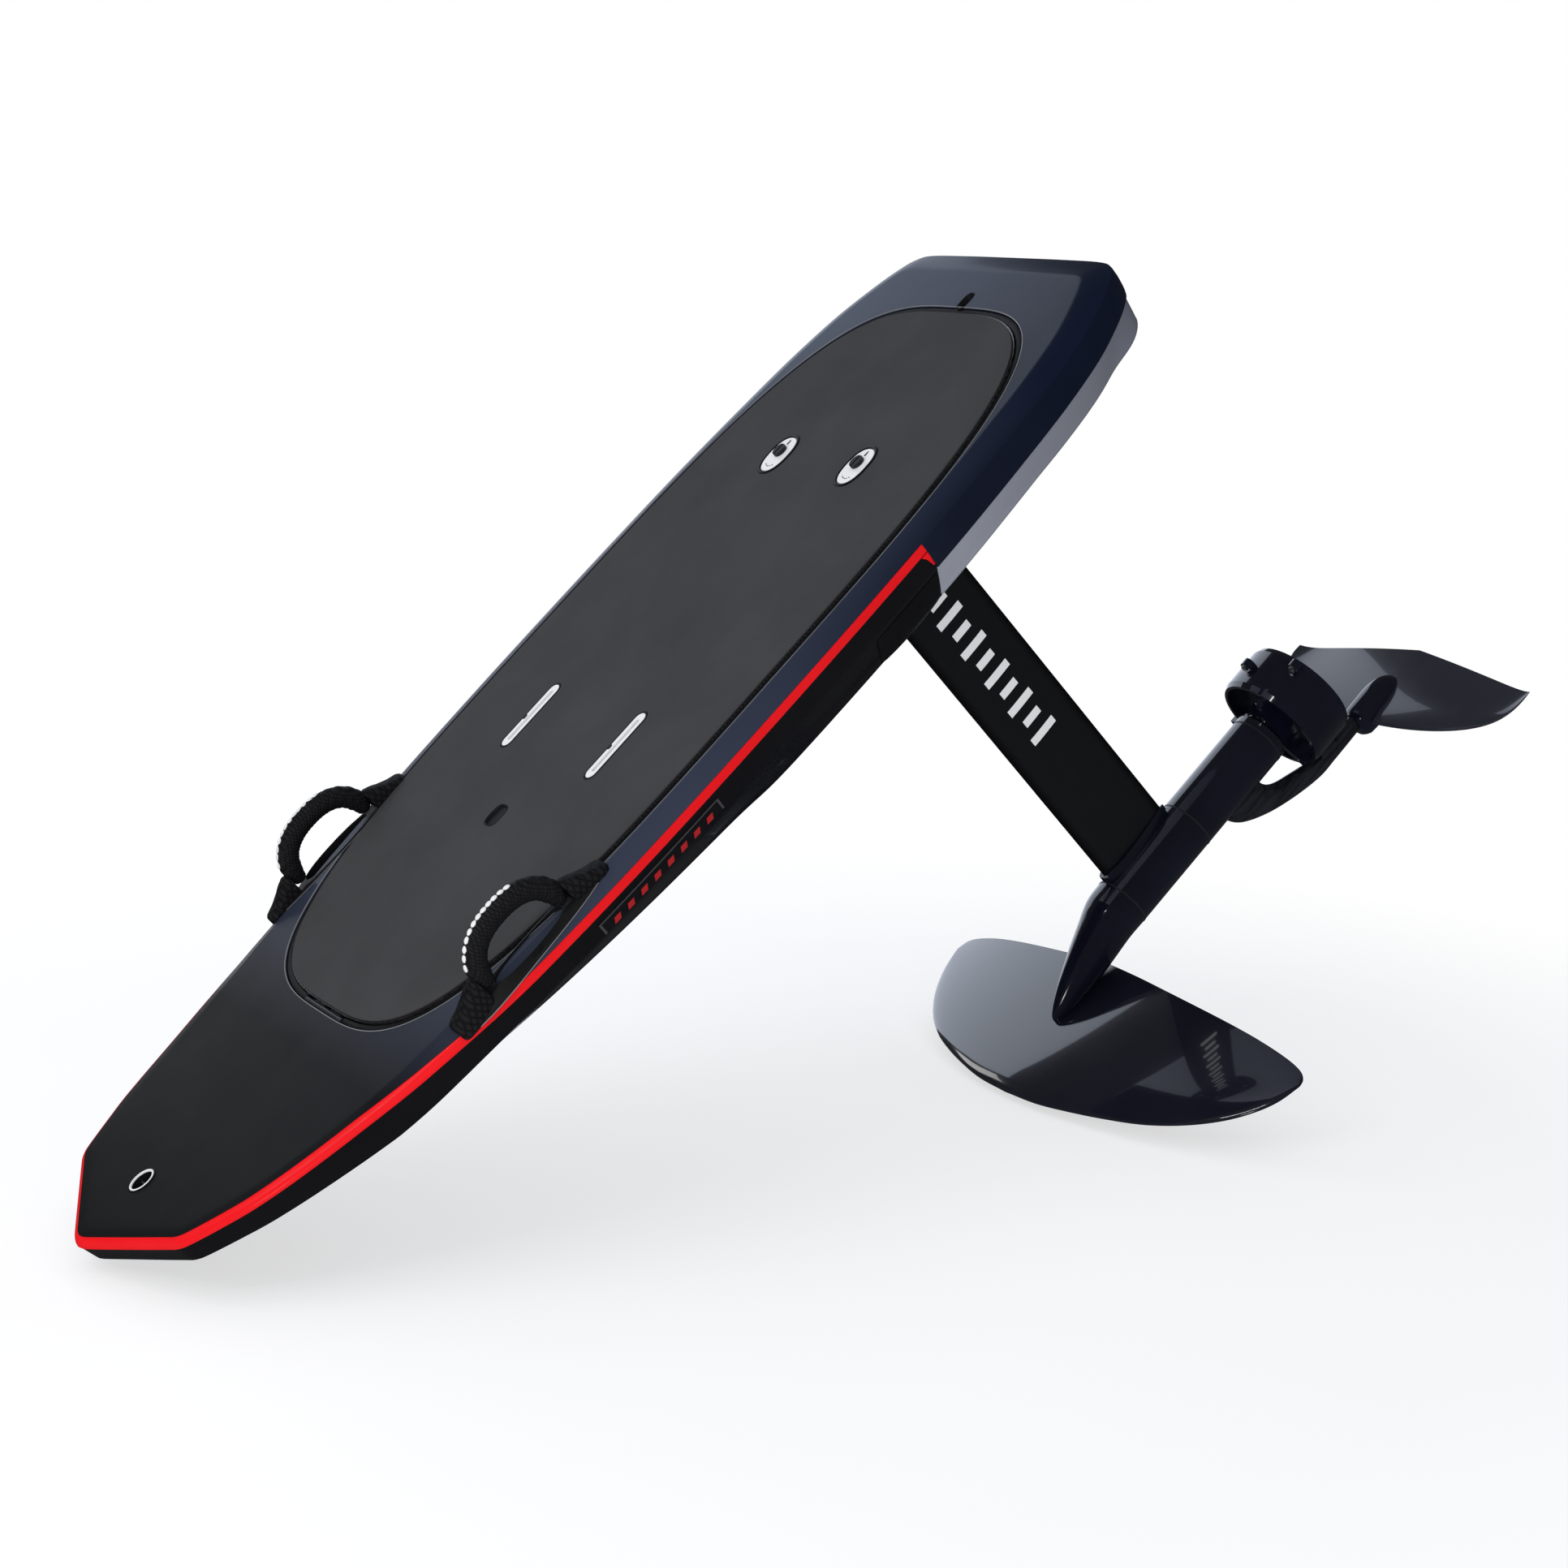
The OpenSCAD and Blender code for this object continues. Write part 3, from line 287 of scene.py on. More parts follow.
@dataclass(frozen=True)
class Finish:
    """A plain finish: two colours, a gloss and one surface pattern."""

    name: str
    base: Colour
    other: Colour
    texture: Texture
    rough: float = 0.4
    rough_spread: float = 0.12
    metallic: float = 0.0
    coat: float = 0.0
    depth: float = 0.0002
    scale: float = 400.0
    specular: float = 0.5
    coat_ior: float = 1.5

    def material(self) -> bpy.types.Material:
        """Builds the finish's material."""
        paint = Paint(self.name)
        cloud = paint.noise(9.0, 4.0)
        height = self._height(paint)
        share = self._share(height, cloud)
        paint.set("Base Color", paint.mix(share, self.base, self.other))
        smear = paint.noise(30.0, 5.0)
        paint.set("Roughness", smear * self.rough_spread + (self.rough - self.rough_spread / 2))
        paint.set("Metallic", self.metallic)
        paint.set("Specular IOR Level", self.specular)
        paint.set("Coat Weight", self.coat)
        paint.set("Coat IOR", self.coat_ior)
        paint.set("Coat Roughness", 0.04)
        paint.bump(height, self.depth)
        return paint.material

    def _share(self, height: Wire, cloud: Wire) -> Wire:
        """How far the second colour shows, from the pattern and a slow cloud."""
        if self.texture in (Texture.GRAIN, Texture.LACQUER):
            return (cloud * 1.6 - 0.3).least(1.0).most(0.0)
        return (height * 0.75 + cloud * 0.25).least(1.0).most(0.0)

    def _height(self, paint: Paint) -> Wire:
        """Height pattern of the finish, from 0 to 1."""
        x, y, z = paint.axes()
        turn = self.scale * math.tau
        if self.texture is Texture.BRUSHED:
            return paint.noise(self.scale, 2.0, (0.04, 1.0, 1.0))
        if self.texture is Texture.TWILL:
            warp = ((x + y + z) * turn).sine() * 0.5 + 0.5
            weft = ((x - y - z) * turn).sine() * 0.5 + 0.5
            pick = ((x * 2.0 + y) * turn * 0.5).sine().above(0.0)
            return warp * pick + weft * (1.0 - pick)
        if self.texture is Texture.GROOVES:
            groove = ((x * turn).sine().size()).ramp(0.0, 0.35)
            return groove * 0.9 + paint.noise(900.0, 2.0) * 0.1
        if self.texture is Texture.BRAID:
            first = ((x * 1.0 + z * 0.8 + y * 0.6) * turn).sine().size()
            second = ((x * 1.0 - z * 0.8 - y * 0.6) * turn).sine().size()
            return first.least(second)
        if self.texture is Texture.WINDINGS:
            return ((y.size() + z * 1.3) * turn).sine() * 0.5 + 0.5
        if self.texture is Texture.LACQUER:
            return paint.noise(self.scale, 1.0)
        return paint.noise(self.scale, 3.0)


@dataclass(frozen=True)
class DeckCoat:
    """Gloss deck coat: near-black at the nose, fading through navy aft, with a painted sheen there that
    makes the starboard side blue-grey and the port side darker navy.
    """

    name: str
    front: Colour = (0.0075, 0.0078, 0.0095)
    middle: Colour = (0.034, 0.042, 0.070)
    # Painted sheen: port is the shaded colour and starboard the lit colour of the aft deck.
    port: Colour = (0.0045, 0.0085, 0.026)
    starboard: Colour = (0.028, 0.040, 0.074)

    def material(self) -> bpy.types.Material:
        """Builds the coat's material."""
        paint = Paint(self.name)
        x, y, _ = paint.axes()
        # Painted reflection: across the aft deck the colour runs from lit blue-grey to starboard to shaded
        # dark navy to port, along a soft diagonal.
        across = (y + x * 0.35 + paint.noise(2.0, 2.0) * 0.06).ramp(-0.50, 0.02)
        aft = paint.mix(across, self.starboard, self.port)
        body = paint.mix(x.ramp(-0.60, 0.10), aft, self.middle)
        fade = paint.mix(x.ramp(0.42, 0.60), body, self.front)
        edge = (y.size() - 0.315).ramp(0.0, 0.030) * (1.0 - x.ramp(-0.40, -0.05))
        deep = paint.mix(edge * 0.65, fade, (0.003, 0.005, 0.015))
        flake = paint.noise(2600.0, 1.0).ramp(0.66, 0.74)
        paint.set("Base Color", paint.mix(flake * 0.02, deep, (0.20, 0.22, 0.30)))
        front = x.ramp(0.44, 0.60)
        paint.set("Roughness", front * 0.12 + paint.noise(14.0, 4.0) * 0.10 + 0.30)
        paint.set("Specular IOR Level", 0.14)
        paint.set("Coat Weight", (1.0 - front * 0.92) * 0.22)
        paint.set("Coat Roughness", 0.14)
        paint.bump(paint.noise(60.0, 1.0), 0.00001)
        return paint.material


@dataclass(frozen=True)
class TailCoat:
    """Silver underside of the tail, with painted light: pale by the mast and shaded darker aft."""

    name: str
    # Painted light: pale is the lit colour by the mast, dark the shaded colour aft.
    pale: Colour = (0.44, 0.46, 0.53)
    dark: Colour = (0.125, 0.135, 0.175)

    def material(self) -> bpy.types.Material:
        """Builds the coat's material."""
        paint = Paint(self.name)
        x, _, _ = paint.axes()
        # Painted light: the silver fades from lit pale by the mast to shaded dark towards the tail.
        fade = paint.noise(3.0, 2.0) * 0.10 + x.ramp(-0.86, -0.36) * 0.94
        paint.set("Base Color", paint.mix(fade, self.dark, self.pale))
        paint.set("Roughness", paint.noise(26.0, 4.0) * 0.10 + 0.30)
        paint.set("Metallic", 0.15)
        paint.set("Coat Weight", 0.15)
        paint.bump(paint.noise(60.0, 1.0), 0.00002)
        return paint.material


@dataclass(frozen=True)
class MastCoat:
    """Matte mast coat with painted shade that darkens its edges, and a plain depth scale in white."""

    name: str
    centre: float
    top: float
    bottom: float
    bars: int = 13
    bar_share: float = 0.42

    def material(self) -> bpy.types.Material:
        """Builds the coat's material."""
        paint = Paint(self.name)
        x, _, z = paint.axes()
        across = x - self.centre
        rim = across.size().ramp(0.052, 0.063)
        body = paint.mix(paint.noise(60.0, 3.0) * 0.5, (0.0065, 0.0070, 0.0090), (0.0095, 0.0100, 0.0130))
        step = (self.top - self.bottom) / self.bars
        count = (z - self.bottom) / step
        inside = z.above(self.bottom) * z.below(self.top)
        long_bar = ((count * 0.5).fraction()).below(0.5)
        reach = long_bar * 0.008 + 0.016
        bar = count.fraction().below(self.bar_share) * across.size().below(reach) * inside
        worn = paint.noise(180.0, 4.0).ramp(0.20, 0.28)
        # Painted shade: the colour turns near-black towards the leading and trailing edges, where rim ramps
        # up.
        shade = paint.mix(rim, body, (0.0015, 0.0016, 0.0022))
        paint.set("Base Color", paint.mix(bar * worn, shade, (0.92, 0.92, 0.92)))
        paint.set("Roughness", paint.noise(35.0, 4.0, (1.0, 1.0, 0.2)) * 0.14 + 0.40)
        paint.set("Metallic", 0.0)
        paint.bump(paint.noise(700.0, 2.0), 0.00006)
        return paint.material


@dataclass(frozen=True)
class LabelCoat:
    """Recessed black strip with a thin grey outline and slanted red bars."""

    name: str
    back: float
    front: float
    low: float
    high: float

    def material(self) -> bpy.types.Material:
        """Builds the strip's material."""
        paint = Paint(self.name)
        x, _, z = paint.axes()
        along = (x - self.back) / (self.front - self.back)
        up = (z - self.low) / (self.high - self.low)
        edge = (along - 0.5).size().above(0.485).most((up - 0.5).size().above(0.42))
        bar = (
            (along * 9.0 + up * 0.5).fraction().below(0.45)
            * (up - 0.5).size().below(0.16)
            * (along - 0.5).size().below(0.44)
        )
        ground = paint.mix(paint.noise(80.0), (0.004, 0.004, 0.005), (0.008, 0.008, 0.010))
        marked = paint.mix(bar * paint.noise(300.0, 2.0).ramp(0.10, 0.30), ground, (0.42, 0.008, 0.012))
        paint.set("Base Color", paint.mix(edge * 0.5, marked, (0.10, 0.10, 0.11)))
        paint.set("Roughness", paint.noise(50.0) * 0.10 + 0.22)
        paint.bump(paint.noise(420.0, 2.0), 0.00005)
        return paint.material


@dataclass(frozen=True)
class RibbedCoat:
    """Gloss composite with fine moulding lines along X: ridged in the bump and roughness, with painted
    highlights that lighten their colour.
    """

    name: str
    base: Colour
    other: Colour
    rough: float = 0.12

    def material(self) -> bpy.types.Material:
        """Builds the coat's material."""
        paint = Paint(self.name)
        lines = paint.noise(160.0, 3.0, (0.05, 1.0, 1.0))
        # Painted highlights: the base colour lightens along the moulding lines.
        paint.set("Base Color", paint.mix(lines.ramp(0.40, 0.62), self.base, self.other))
        paint.set("Roughness", lines * 0.16 + self.rough)
        paint.set("Coat Weight", 0.8)
        paint.set("Coat Roughness", 0.05)
        paint.bump(paint.noise(120.0, 2.0, (0.08, 1.0, 1.0)), 0.0002)
        return paint.material


# --------------------------------------------------------------------------
# Mesh tools
# --------------------------------------------------------------------------


@dataclass
class Frame:
    """Where the board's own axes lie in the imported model."""

    middle_x: float = 0.0
    deck_z: float = 0.0

    def read(self) -> None:
        """Reads the place of the deck from the hatch panel."""
        low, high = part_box("lid_panel")
        self.middle_x = (low.x + high.x) / 2 - HATCH_CENTRE[0]
        self.deck_z = high.z

    def shift(self) -> np.ndarray:
        """The move from the board's axes to the model's."""
        return np.array([self.middle_x, 0.0, self.deck_z])


FRAME = Frame()


@dataclass
class Piece:
    """How one mesh is finished and what it stands for."""

    name: str
    body: str
    finish: "AnyFinish"
    slot: str
    replaces: Sequence[str] = ()
    crease: float = 38.0


AnyFinish = Union[Finish, DeckCoat, TailCoat, MastCoat, LabelCoat, RibbedCoat]
MATERIALS: dict[str, bpy.types.Material] = {}


def material_of(finish: AnyFinish) -> bpy.types.Material:
    """The finish's material, built once."""
    if finish.name not in MATERIALS:
        MATERIALS[finish.name] = finish.material()
    return MATERIALS[finish.name]


def publish(mesh: bmesh.types.BMesh, piece: Piece) -> bpy.types.Object:
    """Turns a bmesh in the board's axes into a dressed piece that rides on its body.

    Args:
        mesh: the geometry; it is freed.
        piece: how it is finished.

    Returns:
        The new object.
    """
    bmesh.ops.remove_doubles(mesh, verts=mesh.verts, dist=1e-6)
    bmesh.ops.recalc_face_normals(mesh, faces=mesh.faces)
    bmesh.ops.translate(mesh, verts=mesh.verts, vec=Vector(FRAME.shift()))
    limit = math.radians(piece.crease)
    for face in mesh.faces:
        face.smooth = True
    for edge in mesh.edges:
        edge.smooth = len(edge.link_faces) == 2 and edge.calc_face_angle(0.0) < limit
    data = bpy.data.meshes.new(piece.name)
    mesh.to_mesh(data)
    mesh.free()
    made = bpy.data.objects.new(piece.name, data)
    bpy.context.scene.collection.objects.link(made)
    data.materials.append(material_of(piece.finish))
    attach(made, piece.body)
    if piece.replaces:
        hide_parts(*piece.replaces)
    LOG.info("%s: %d faces on %s", piece.name, len(data.polygons), piece.body)
    return made


def add_rings(
    mesh: bmesh.types.BMesh, rings: Rings, loop: bool = False, caps: tuple[bool, bool] = (False, False)
) -> None:
    """Adds a skin through closed rings of equal length.

    Args:
        mesh: what it is added to.
        rings: arrays of points, one ring each.
        loop: whether the last ring joins the first.
        caps: whether the first and the last ring are closed by a face.
    """
    rows = [[mesh.verts.new(p) for p in ring] for ring in rings]
    count = len(rows[0])
    pairs = list(zip(rows, rows[1:])) + ([(rows[-1], rows[0])] if loop else [])
    for first, second in pairs:
        for i in range(count):
            j = (i + 1) % count
            mesh.faces.new((first[i], first[j], second[j], second[i]))
    if caps[0]:
        mesh.faces.new(list(reversed(rows[0])))
    if caps[1]:
        mesh.faces.new(rows[-1])


def rings_piece(
    rings: Rings, piece: Piece, loop: bool = False, caps: tuple[bool, bool] = (True, True)
) -> bpy.types.Object:
    """Publishes one skin through rings."""
    mesh = bmesh.new()
    add_rings(mesh, rings, loop, caps)
    return publish(mesh, piece)


def lathe(profile: Sequence[tuple[float, float]], height: float, steps: int = 72) -> Rings:
    """Rings of a body turned about an axis along X.

    Args:
        profile: pairs of X and radius, in order.
        height: Z of the axis.
        steps: points in a ring.

    Returns:
        The rings.
    """
    turn = np.linspace(0.0, math.tau, steps, endpoint=False)
    return [
        np.stack([np.full(steps, x), r * np.cos(turn), height + r * np.sin(turn)], 1) for x, r in profile
    ]


def smooth_rows(rows: Sequence[Sequence[float]], steps: int) -> np.ndarray:
    """Passes a smooth curve through rows of numbers.

    Args:
        rows: the values to pass through.
        steps: rows to return.

    Returns:
        An array of `steps` rows.
    """
    points = np.array(rows, float)
    padded = np.vstack([2 * points[0] - points[1], points, 2 * points[-1] - points[-2]])
    out = []
    for t in np.linspace(0.0, len(points) - 1 - 1e-9, steps):
        i = int(t)
        u = t - i
        a, b, c, d = padded[i : i + 4]
        out.append(
            0.5 * (
                2 * b + (c - a) * u + (2 * a - 5 * b + 4 * c - d) * u * u + (3 * b - a - 3 * c + d) * u**3
            )
        )
    return np.array(out)


def tube(path: np.ndarray, radius: Callable[[float, np.ndarray], np.ndarray], steps: int = 20) -> Rings:
    """Rings of a tube along a path that lies in one upright plane.

    Args:
        path: the points it follows.
        radius: radii against the share of the path and the angles of a ring.
        steps: points in a ring.

    Returns:
        The rings.
    """
    across = np.array([0.0, 1.0, 0.0])
    turn = np.linspace(0.0, math.tau, steps, endpoint=False)
    out = []
    for i, point in enumerate(path):
        before, after = path[max(i - 1, 0)], path[min(i + 1, len(path) - 1)]
        along = (after - before) / np.linalg.norm(after - before)
        up = np.cross(along, across)
        r = radius(i / (len(path) - 1), turn)
        out.append(point + (r * np.cos(turn))[:, None] * up + (r * np.sin(turn))[:, None] * across)
    return out


def oval(
    length: float, width: float, power: float, angles: np.ndarray, centre: tuple[float, float] = (0.0, 0.0)
) -> np.ndarray:
    """Points of an oval, found along rays from its centre.

    Args:
        length: size along X.
        width: size along Y.
        power: squareness, 2 for an ellipse.
        angles: directions of the rays.
        centre: the oval's centre.

    Returns:
        Points as an array of X and Y.
    """
    c, s = np.cos(angles), np.sin(angles)
    reach = (np.abs(c / (length / 2)) ** power + np.abs(s / (width / 2)) ** power) ** (-1.0 / power)
    return np.stack([centre[0] + reach * c, centre[1] + reach * s], 1)


def slot_outline(length: float, width: float, centre: tuple[float, float], steps: int = 24) -> np.ndarray:
    """Points of a slot with round ends, along X."""
    r, half = width / 2, (length - width) / 2
    turn = np.linspace(-math.pi / 2, math.pi / 2, steps // 2)
    right = np.stack([half + r * np.cos(turn), r * np.sin(turn)], 1)
    return np.vstack([right, -right]) + np.array(centre)


def raised(outline: np.ndarray, height: Union[float, np.ndarray]) -> np.ndarray:
    """Gives flat points a height."""
    tall = np.full(len(outline), height) if np.isscalar(height) else height
    return np.column_stack([outline, tall])


def grown(outline: np.ndarray, amount: float) -> np.ndarray:
    """Moves an outline's points outwards by an amount."""
    tangent = np.roll(outline, -1, 0) - np.roll(outline, 1, 0)
    normal = np.column_stack([tangent[:, 1], -tangent[:, 0]])
    normal /= np.linalg.norm(normal, axis=1)[:, None] + 1e-12
    return outline + normal * amount


def cut_away(target: bpy.types.Object, outlines: Sequence[np.ndarray], low: float, high: float) -> None:
    """Cuts upright holes through a closed piece.

    Args:
        target: the piece.
        outlines: flat outlines in the board's axes.
        low: lowest height of the cut.
        high: highest height of the cut.
    """
    mesh = bmesh.new()
    for outline in outlines:
        add_rings(mesh, [raised(outline, low), raised(outline, high)], caps=(True, True))
    bmesh.ops.recalc_face_normals(mesh, faces=mesh.faces)
    bmesh.ops.translate(mesh, verts=mesh.verts, vec=Vector(FRAME.shift()))
    data = bpy.data.meshes.new("cutter")
    mesh.to_mesh(data)
    mesh.free()
    cutter = bpy.data.objects.new("cutter", data)
    bpy.context.scene.collection.objects.link(cutter)
    change = target.modifiers.new("cut", "BOOLEAN")
    change.operation = "DIFFERENCE"
    change.solver = "EXACT"
    change.object = cutter
    bpy.context.view_layer.update()
    graph = bpy.context.evaluated_depsgraph_get()
    fresh = bpy.data.meshes.new_from_object(target.evaluated_get(graph))
    target.modifiers.clear()
    old = target.data
    target.data = fresh
    fresh.name = target.name
    bpy.data.meshes.remove(old)
    bpy.data.objects.remove(cutter)
    work = bmesh.new()
    work.from_mesh(fresh)
    for face in work.faces:
        face.smooth = True
    for edge in work.edges:
        edge.smooth = len(edge.link_faces) == 2 and edge.calc_face_angle(0.0) < math.radians(30)
    work.to_mesh(fresh)
    work.free()


# --------------------------------------------------------------------------
# Finishes of this board
# --------------------------------------------------------------------------

DECK = DeckCoat("deck_coat")
HULL = Finish(
    "hull_coat", (0.004, 0.004, 0.005), (0.007, 0.007, 0.009), Texture.LACQUER, 0.26, 0.10, 0.0, 0.3,
    0.00001, 50.0
)
TAIL = TailCoat("tail_coat")
RED = Finish(
    "stripe_red", (0.80, 0.002, 0.006), (0.90, 0.005, 0.010), Texture.LACQUER, 0.34, 0.08, 0.0, 0.12,
    0.00001, 60.0, 0.2
)
PAD = Finish(
    "pad_foam", (0.046, 0.046, 0.049), (0.060, 0.060, 0.064), Texture.GRAIN, 0.80, 0.14, 0.0, 0.0, 0.00030,
    620.0, 0.2
)
WRAP = Finish(
    "wrapped_foot", (0.003, 0.003, 0.0035), (0.016, 0.016, 0.018), Texture.BRAID, 0.66, 0.16, 0.0, 0.0,
    0.0004, 52.0, 0.18
)
RUBBER = Finish(
    "black_rubber", (0.004, 0.004, 0.005), (0.009, 0.009, 0.010), Texture.GRAIN, 0.55, 0.15, 0.0, 0.0,
    0.00012, 500.0
)
MOULDED = Finish(
    "moulded_black", (0.004, 0.004, 0.005), (0.008, 0.008, 0.010), Texture.GRAIN, 0.42, 0.16, 0.0, 0.0,
    0.00010, 700.0, 0.35
)
WHITE = Finish(
    "white_plastic", (0.86, 0.86, 0.85), (0.92, 0.92, 0.92), Texture.GRAIN, 0.30, 0.10, 0.0, 0.3, 0.00004,
    600.0
)
OUTLINE = Finish(
    "pale_edge", (0.16, 0.16, 0.17), (0.24, 0.24, 0.25), Texture.GRAIN, 0.35, 0.10, 0.0, 0.0, 0.00003, 600.0
)
STEEL = Finish(
    "brushed_steel", (0.55, 0.55, 0.56), (0.70, 0.70, 0.71), Texture.BRUSHED, 0.28, 0.16, 1.0, 0.0, 0.00005,
    900.0
)
ALLOY = Finish(
    "milled_alloy", (0.42, 0.43, 0.45), (0.58, 0.59, 0.61), Texture.BRUSHED, 0.36, 0.18, 1.0, 0.0, 0.00006,
    600.0
)
DARK_ALLOY = Finish(
    "dark_alloy", (0.030, 0.031, 0.036), (0.050, 0.052, 0.058), Texture.BRUSHED, 0.36, 0.16, 0.6, 0.0,
    0.00005, 600.0
)
POD = Finish(
    "pod_coat", (0.003, 0.0036, 0.009), (0.006, 0.0075, 0.017), Texture.LACQUER, 0.14, 0.08, 0.0, 1.0,
    0.000008, 30.0, 0.5, 1.7
)
WING = Finish(
    "wing_coat", (0.006, 0.007, 0.014), (0.010, 0.011, 0.020), Texture.LACQUER, 0.16, 0.08, 0.0, 1.0,
    0.000008, 30.0, 0.5, 1.9
)
STAB = Finish(
    "stabiliser_coat", (0.022, 0.024, 0.034), (0.030, 0.032, 0.044), Texture.LACQUER, 0.18, 0.08, 0.0, 0.9,
    0.000008, 30.0
)
GLOSS = RibbedCoat("ribbed_coat", (0.006, 0.006, 0.009), (0.016, 0.017, 0.024))
CARBON = Finish(
    "carbon_twill", (0.006, 0.006, 0.007), (0.030, 0.030, 0.034), Texture.TWILL, 0.26, 0.08, 0.0, 0.7,
    0.00010, 170.0
)
SLEEVE = Finish(
    "braided_sleeve", (0.003, 0.003, 0.004), (0.017, 0.017, 0.019), Texture.BRAID, 0.60, 0.16, 0.0, 0.0,
    0.0006, 95.0, 0.3
)
FOAM = Finish(
    "white_foam", (0.70, 0.70, 0.68), (0.80, 0.80, 0.78), Texture.GRAIN, 0.80, 0.10, 0.0, 0.0, 0.0006, 500.0
)
CASE = Finish(
    "battery_case", (0.018, 0.020, 0.026), (0.030, 0.032, 0.040), Texture.GROOVES, 0.38, 0.12, 0.0, 0.2,
    0.0010, 22.0
)
PLUG = Finish(
    "connector_amber", (0.60, 0.22, 0.02), (0.72, 0.30, 0.04), Texture.GRAIN, 0.42, 0.14, 0.0, 0.0, 0.00010,
    600.0
)
LEAD = Finish(
    "lead_sheath", (0.55, 0.02, 0.02), (0.66, 0.03, 0.03), Texture.GRAIN, 0.45, 0.14, 0.0, 0.0, 0.00010,
    600.0
)
COPPER = Finish(
    "windings", (0.36, 0.13, 0.05), (0.72, 0.33, 0.16), Texture.WINDINGS, 0.34, 0.14, 0.9, 0.0, 0.0006, 300.0
)


# --------------------------------------------------------------------------
# The board
# --------------------------------------------------------------------------


@dataclass
class BoardForm:
    """The board's outline and section, from which every board piece is drawn."""

    half_length: float = 0.875
    split_x: float = -0.390
    samples: int = 640
    knots: tuple[tuple[float, float], ...] = (
        (0.875, 0.0), (0.8735, 0.010), (0.868, 0.026), (0.836, 0.100), (0.806, 0.168), (0.798, 0.184),
        (0.785, 0.196),
        (0.743, 0.2205), (0.700, 0.2415), (0.625, 0.266), (0.510, 0.296), (0.394, 0.3155), (0.280, 0.331),
        (0.150, 0.342),
        (0.0, 0.348), (-0.150, 0.350), (-0.300, 0.349), (-0.450, 0.344), (-0.600, 0.331), (-0.680, 0.3195),
        (-0.750, 0.3020), (-0.812, 0.2740), (-0.846, 0.2520), (-0.863, 0.2340), (-0.8725, 0.2040),
        (-0.8748, 0.110), (-0.875, 0.0),
    )
    curve: np.ndarray = field(default_factory=lambda: np.zeros((0, 2)))
    inward: np.ndarray = field(default_factory=lambda: np.zeros((0, 2)))

    def __post_init__(self) -> None:
        """Samples the outline once."""
        port = smooth_rows(self.knots, 900)
        port[:, 1] = np.maximum(port[:, 1], 0.0)
        port[0, 1] = port[-1, 1] = 0.0
        length = np.concatenate([[0.0], np.cumsum(np.linalg.norm(np.diff(port, axis=0), axis=1))])
        half = self.samples // 2
        at = np.linspace(0.0, length[-1], half + 1)
        side = np.stack([np.interp(at, length, port[:, 0]), np.interp(at, length, port[:, 1])], 1)
        nearest = int(np.argmin(np.abs(side[:, 0] - self.split_x)))
        side[nearest, 0] = self.split_x
        other = side[1:-1][::-1] * np.array([1.0, -1.0])
        self.curve = np.vstack([side, other])
        tangent = np.roll(self.curve, -1, 0) - np.roll(self.curve, 1, 0)
        normal = np.column_stack([-tangent[:, 1], tangent[:, 0]])
        normal /= np.linalg.norm(normal, axis=1)[:, None]
        for _ in range(60):
            normal = (np.roll(normal, 1, 0) + 2 * normal + np.roll(normal, -1, 0)) / 4
        normal /= np.linalg.norm(normal, axis=1)[:, None]
        self.inward = normal

    def half_width(self, x: np.ndarray) -> np.ndarray:
        """Half width of the board at x."""
        side = self.curve[: self.samples // 2 + 1][::-1]
        return np.interp(x, side[:, 0], side[:, 1])

    def rise(self, x: np.ndarray) -> np.ndarray:
        """Height of the deck above its flat part."""
        share = np.clip((x / self.half_length - 0.54) / 0.46, 0.0, None)
        return 0.040 * share**1.6

    def depth(self, x: np.ndarray) -> np.ndarray:
        """Depth of the keel below the deck."""
        at = np.array([-1.0, -0.86, -0.17, 0.0, 0.32, 0.584, 0.80, 0.95, 1.0]) * self.half_length
        deep = np.array([0.86, 0.995, 1.0, 0.925, 0.76, 0.60, 0.480, 0.440, 0.435]) * 0.112
        rows = smooth_rows(list(zip(at, deep)), 400)
        return np.interp(x, rows[:, 0], rows[:, 1])

    def lean(self, x: np.ndarray) -> np.ndarray:
        """How far the stripe leans onto the deck's edge, 0 aft to 1 at the nose."""
        share = np.clip((x - 0.30) / 0.28, 0.0, 1.0)
        return share * share * (3 - 2 * share)

    def edge(self, x: np.ndarray) -> np.ndarray:
        """Width of the sloping deck edge."""
        return np.interp(x, [-0.6, 0.2, 0.6, 0.8], [0.040, 0.031, 0.0255, 0.0255])

    def stripe_top(self) -> tuple[np.ndarray, np.ndarray]:
        """Offset and drop of the line where the deck ends."""
        lean = self.lean(self.curve[:, 0])
        return 0.0002 + lean * 0.0108, 0.0124 - lean * 0.0112

    def stripe_foot(self) -> tuple[np.ndarray, np.ndarray]:
        """Offset and drop of the stripe's lower edge."""
        lean = self.lean(self.curve[:, 0])
        return 0.0006 * (1 - lean), 0.0252 * (1 - lean) + 0.0128 * lean

    def ring(self, offset: Union[float, np.ndarray], drop: Union[float, np.ndarray]) -> np.ndarray:
        """Points of the outline moved inwards and down from the deck.

        Args:
            offset: metres inwards.
            drop: metres below the deck at each point.

        Returns:
            The ring.
        """
        move = np.broadcast_to(offset, len(self.curve))[:, None] * self.inward
        flat = self.curve + move
        return np.column_stack([flat, self.rise(flat[:, 0]) - drop])

    def eased(self, ring: np.ndarray, times: int) -> np.ndarray:
        """A ring whose sharp corners are rounded by averaging neighbours."""
        for _ in range(times):
            ring = (np.roll(ring, 1, 0) + 2 * ring + np.roll(ring, -1, 0)) / 4
        return ring

    def deck_height(self, x: float, y: float) -> float:
        """Height of the deck's surface at a point near the rail."""
        width, edge = float(self.half_width(np.array(x))), float(self.edge(np.array(x)))
        over = max(0.0, abs(y) - (width - edge)) / edge
        return float(self.rise(np.array(x))) - 0.0115 * min(over, 1.2) ** 1.25


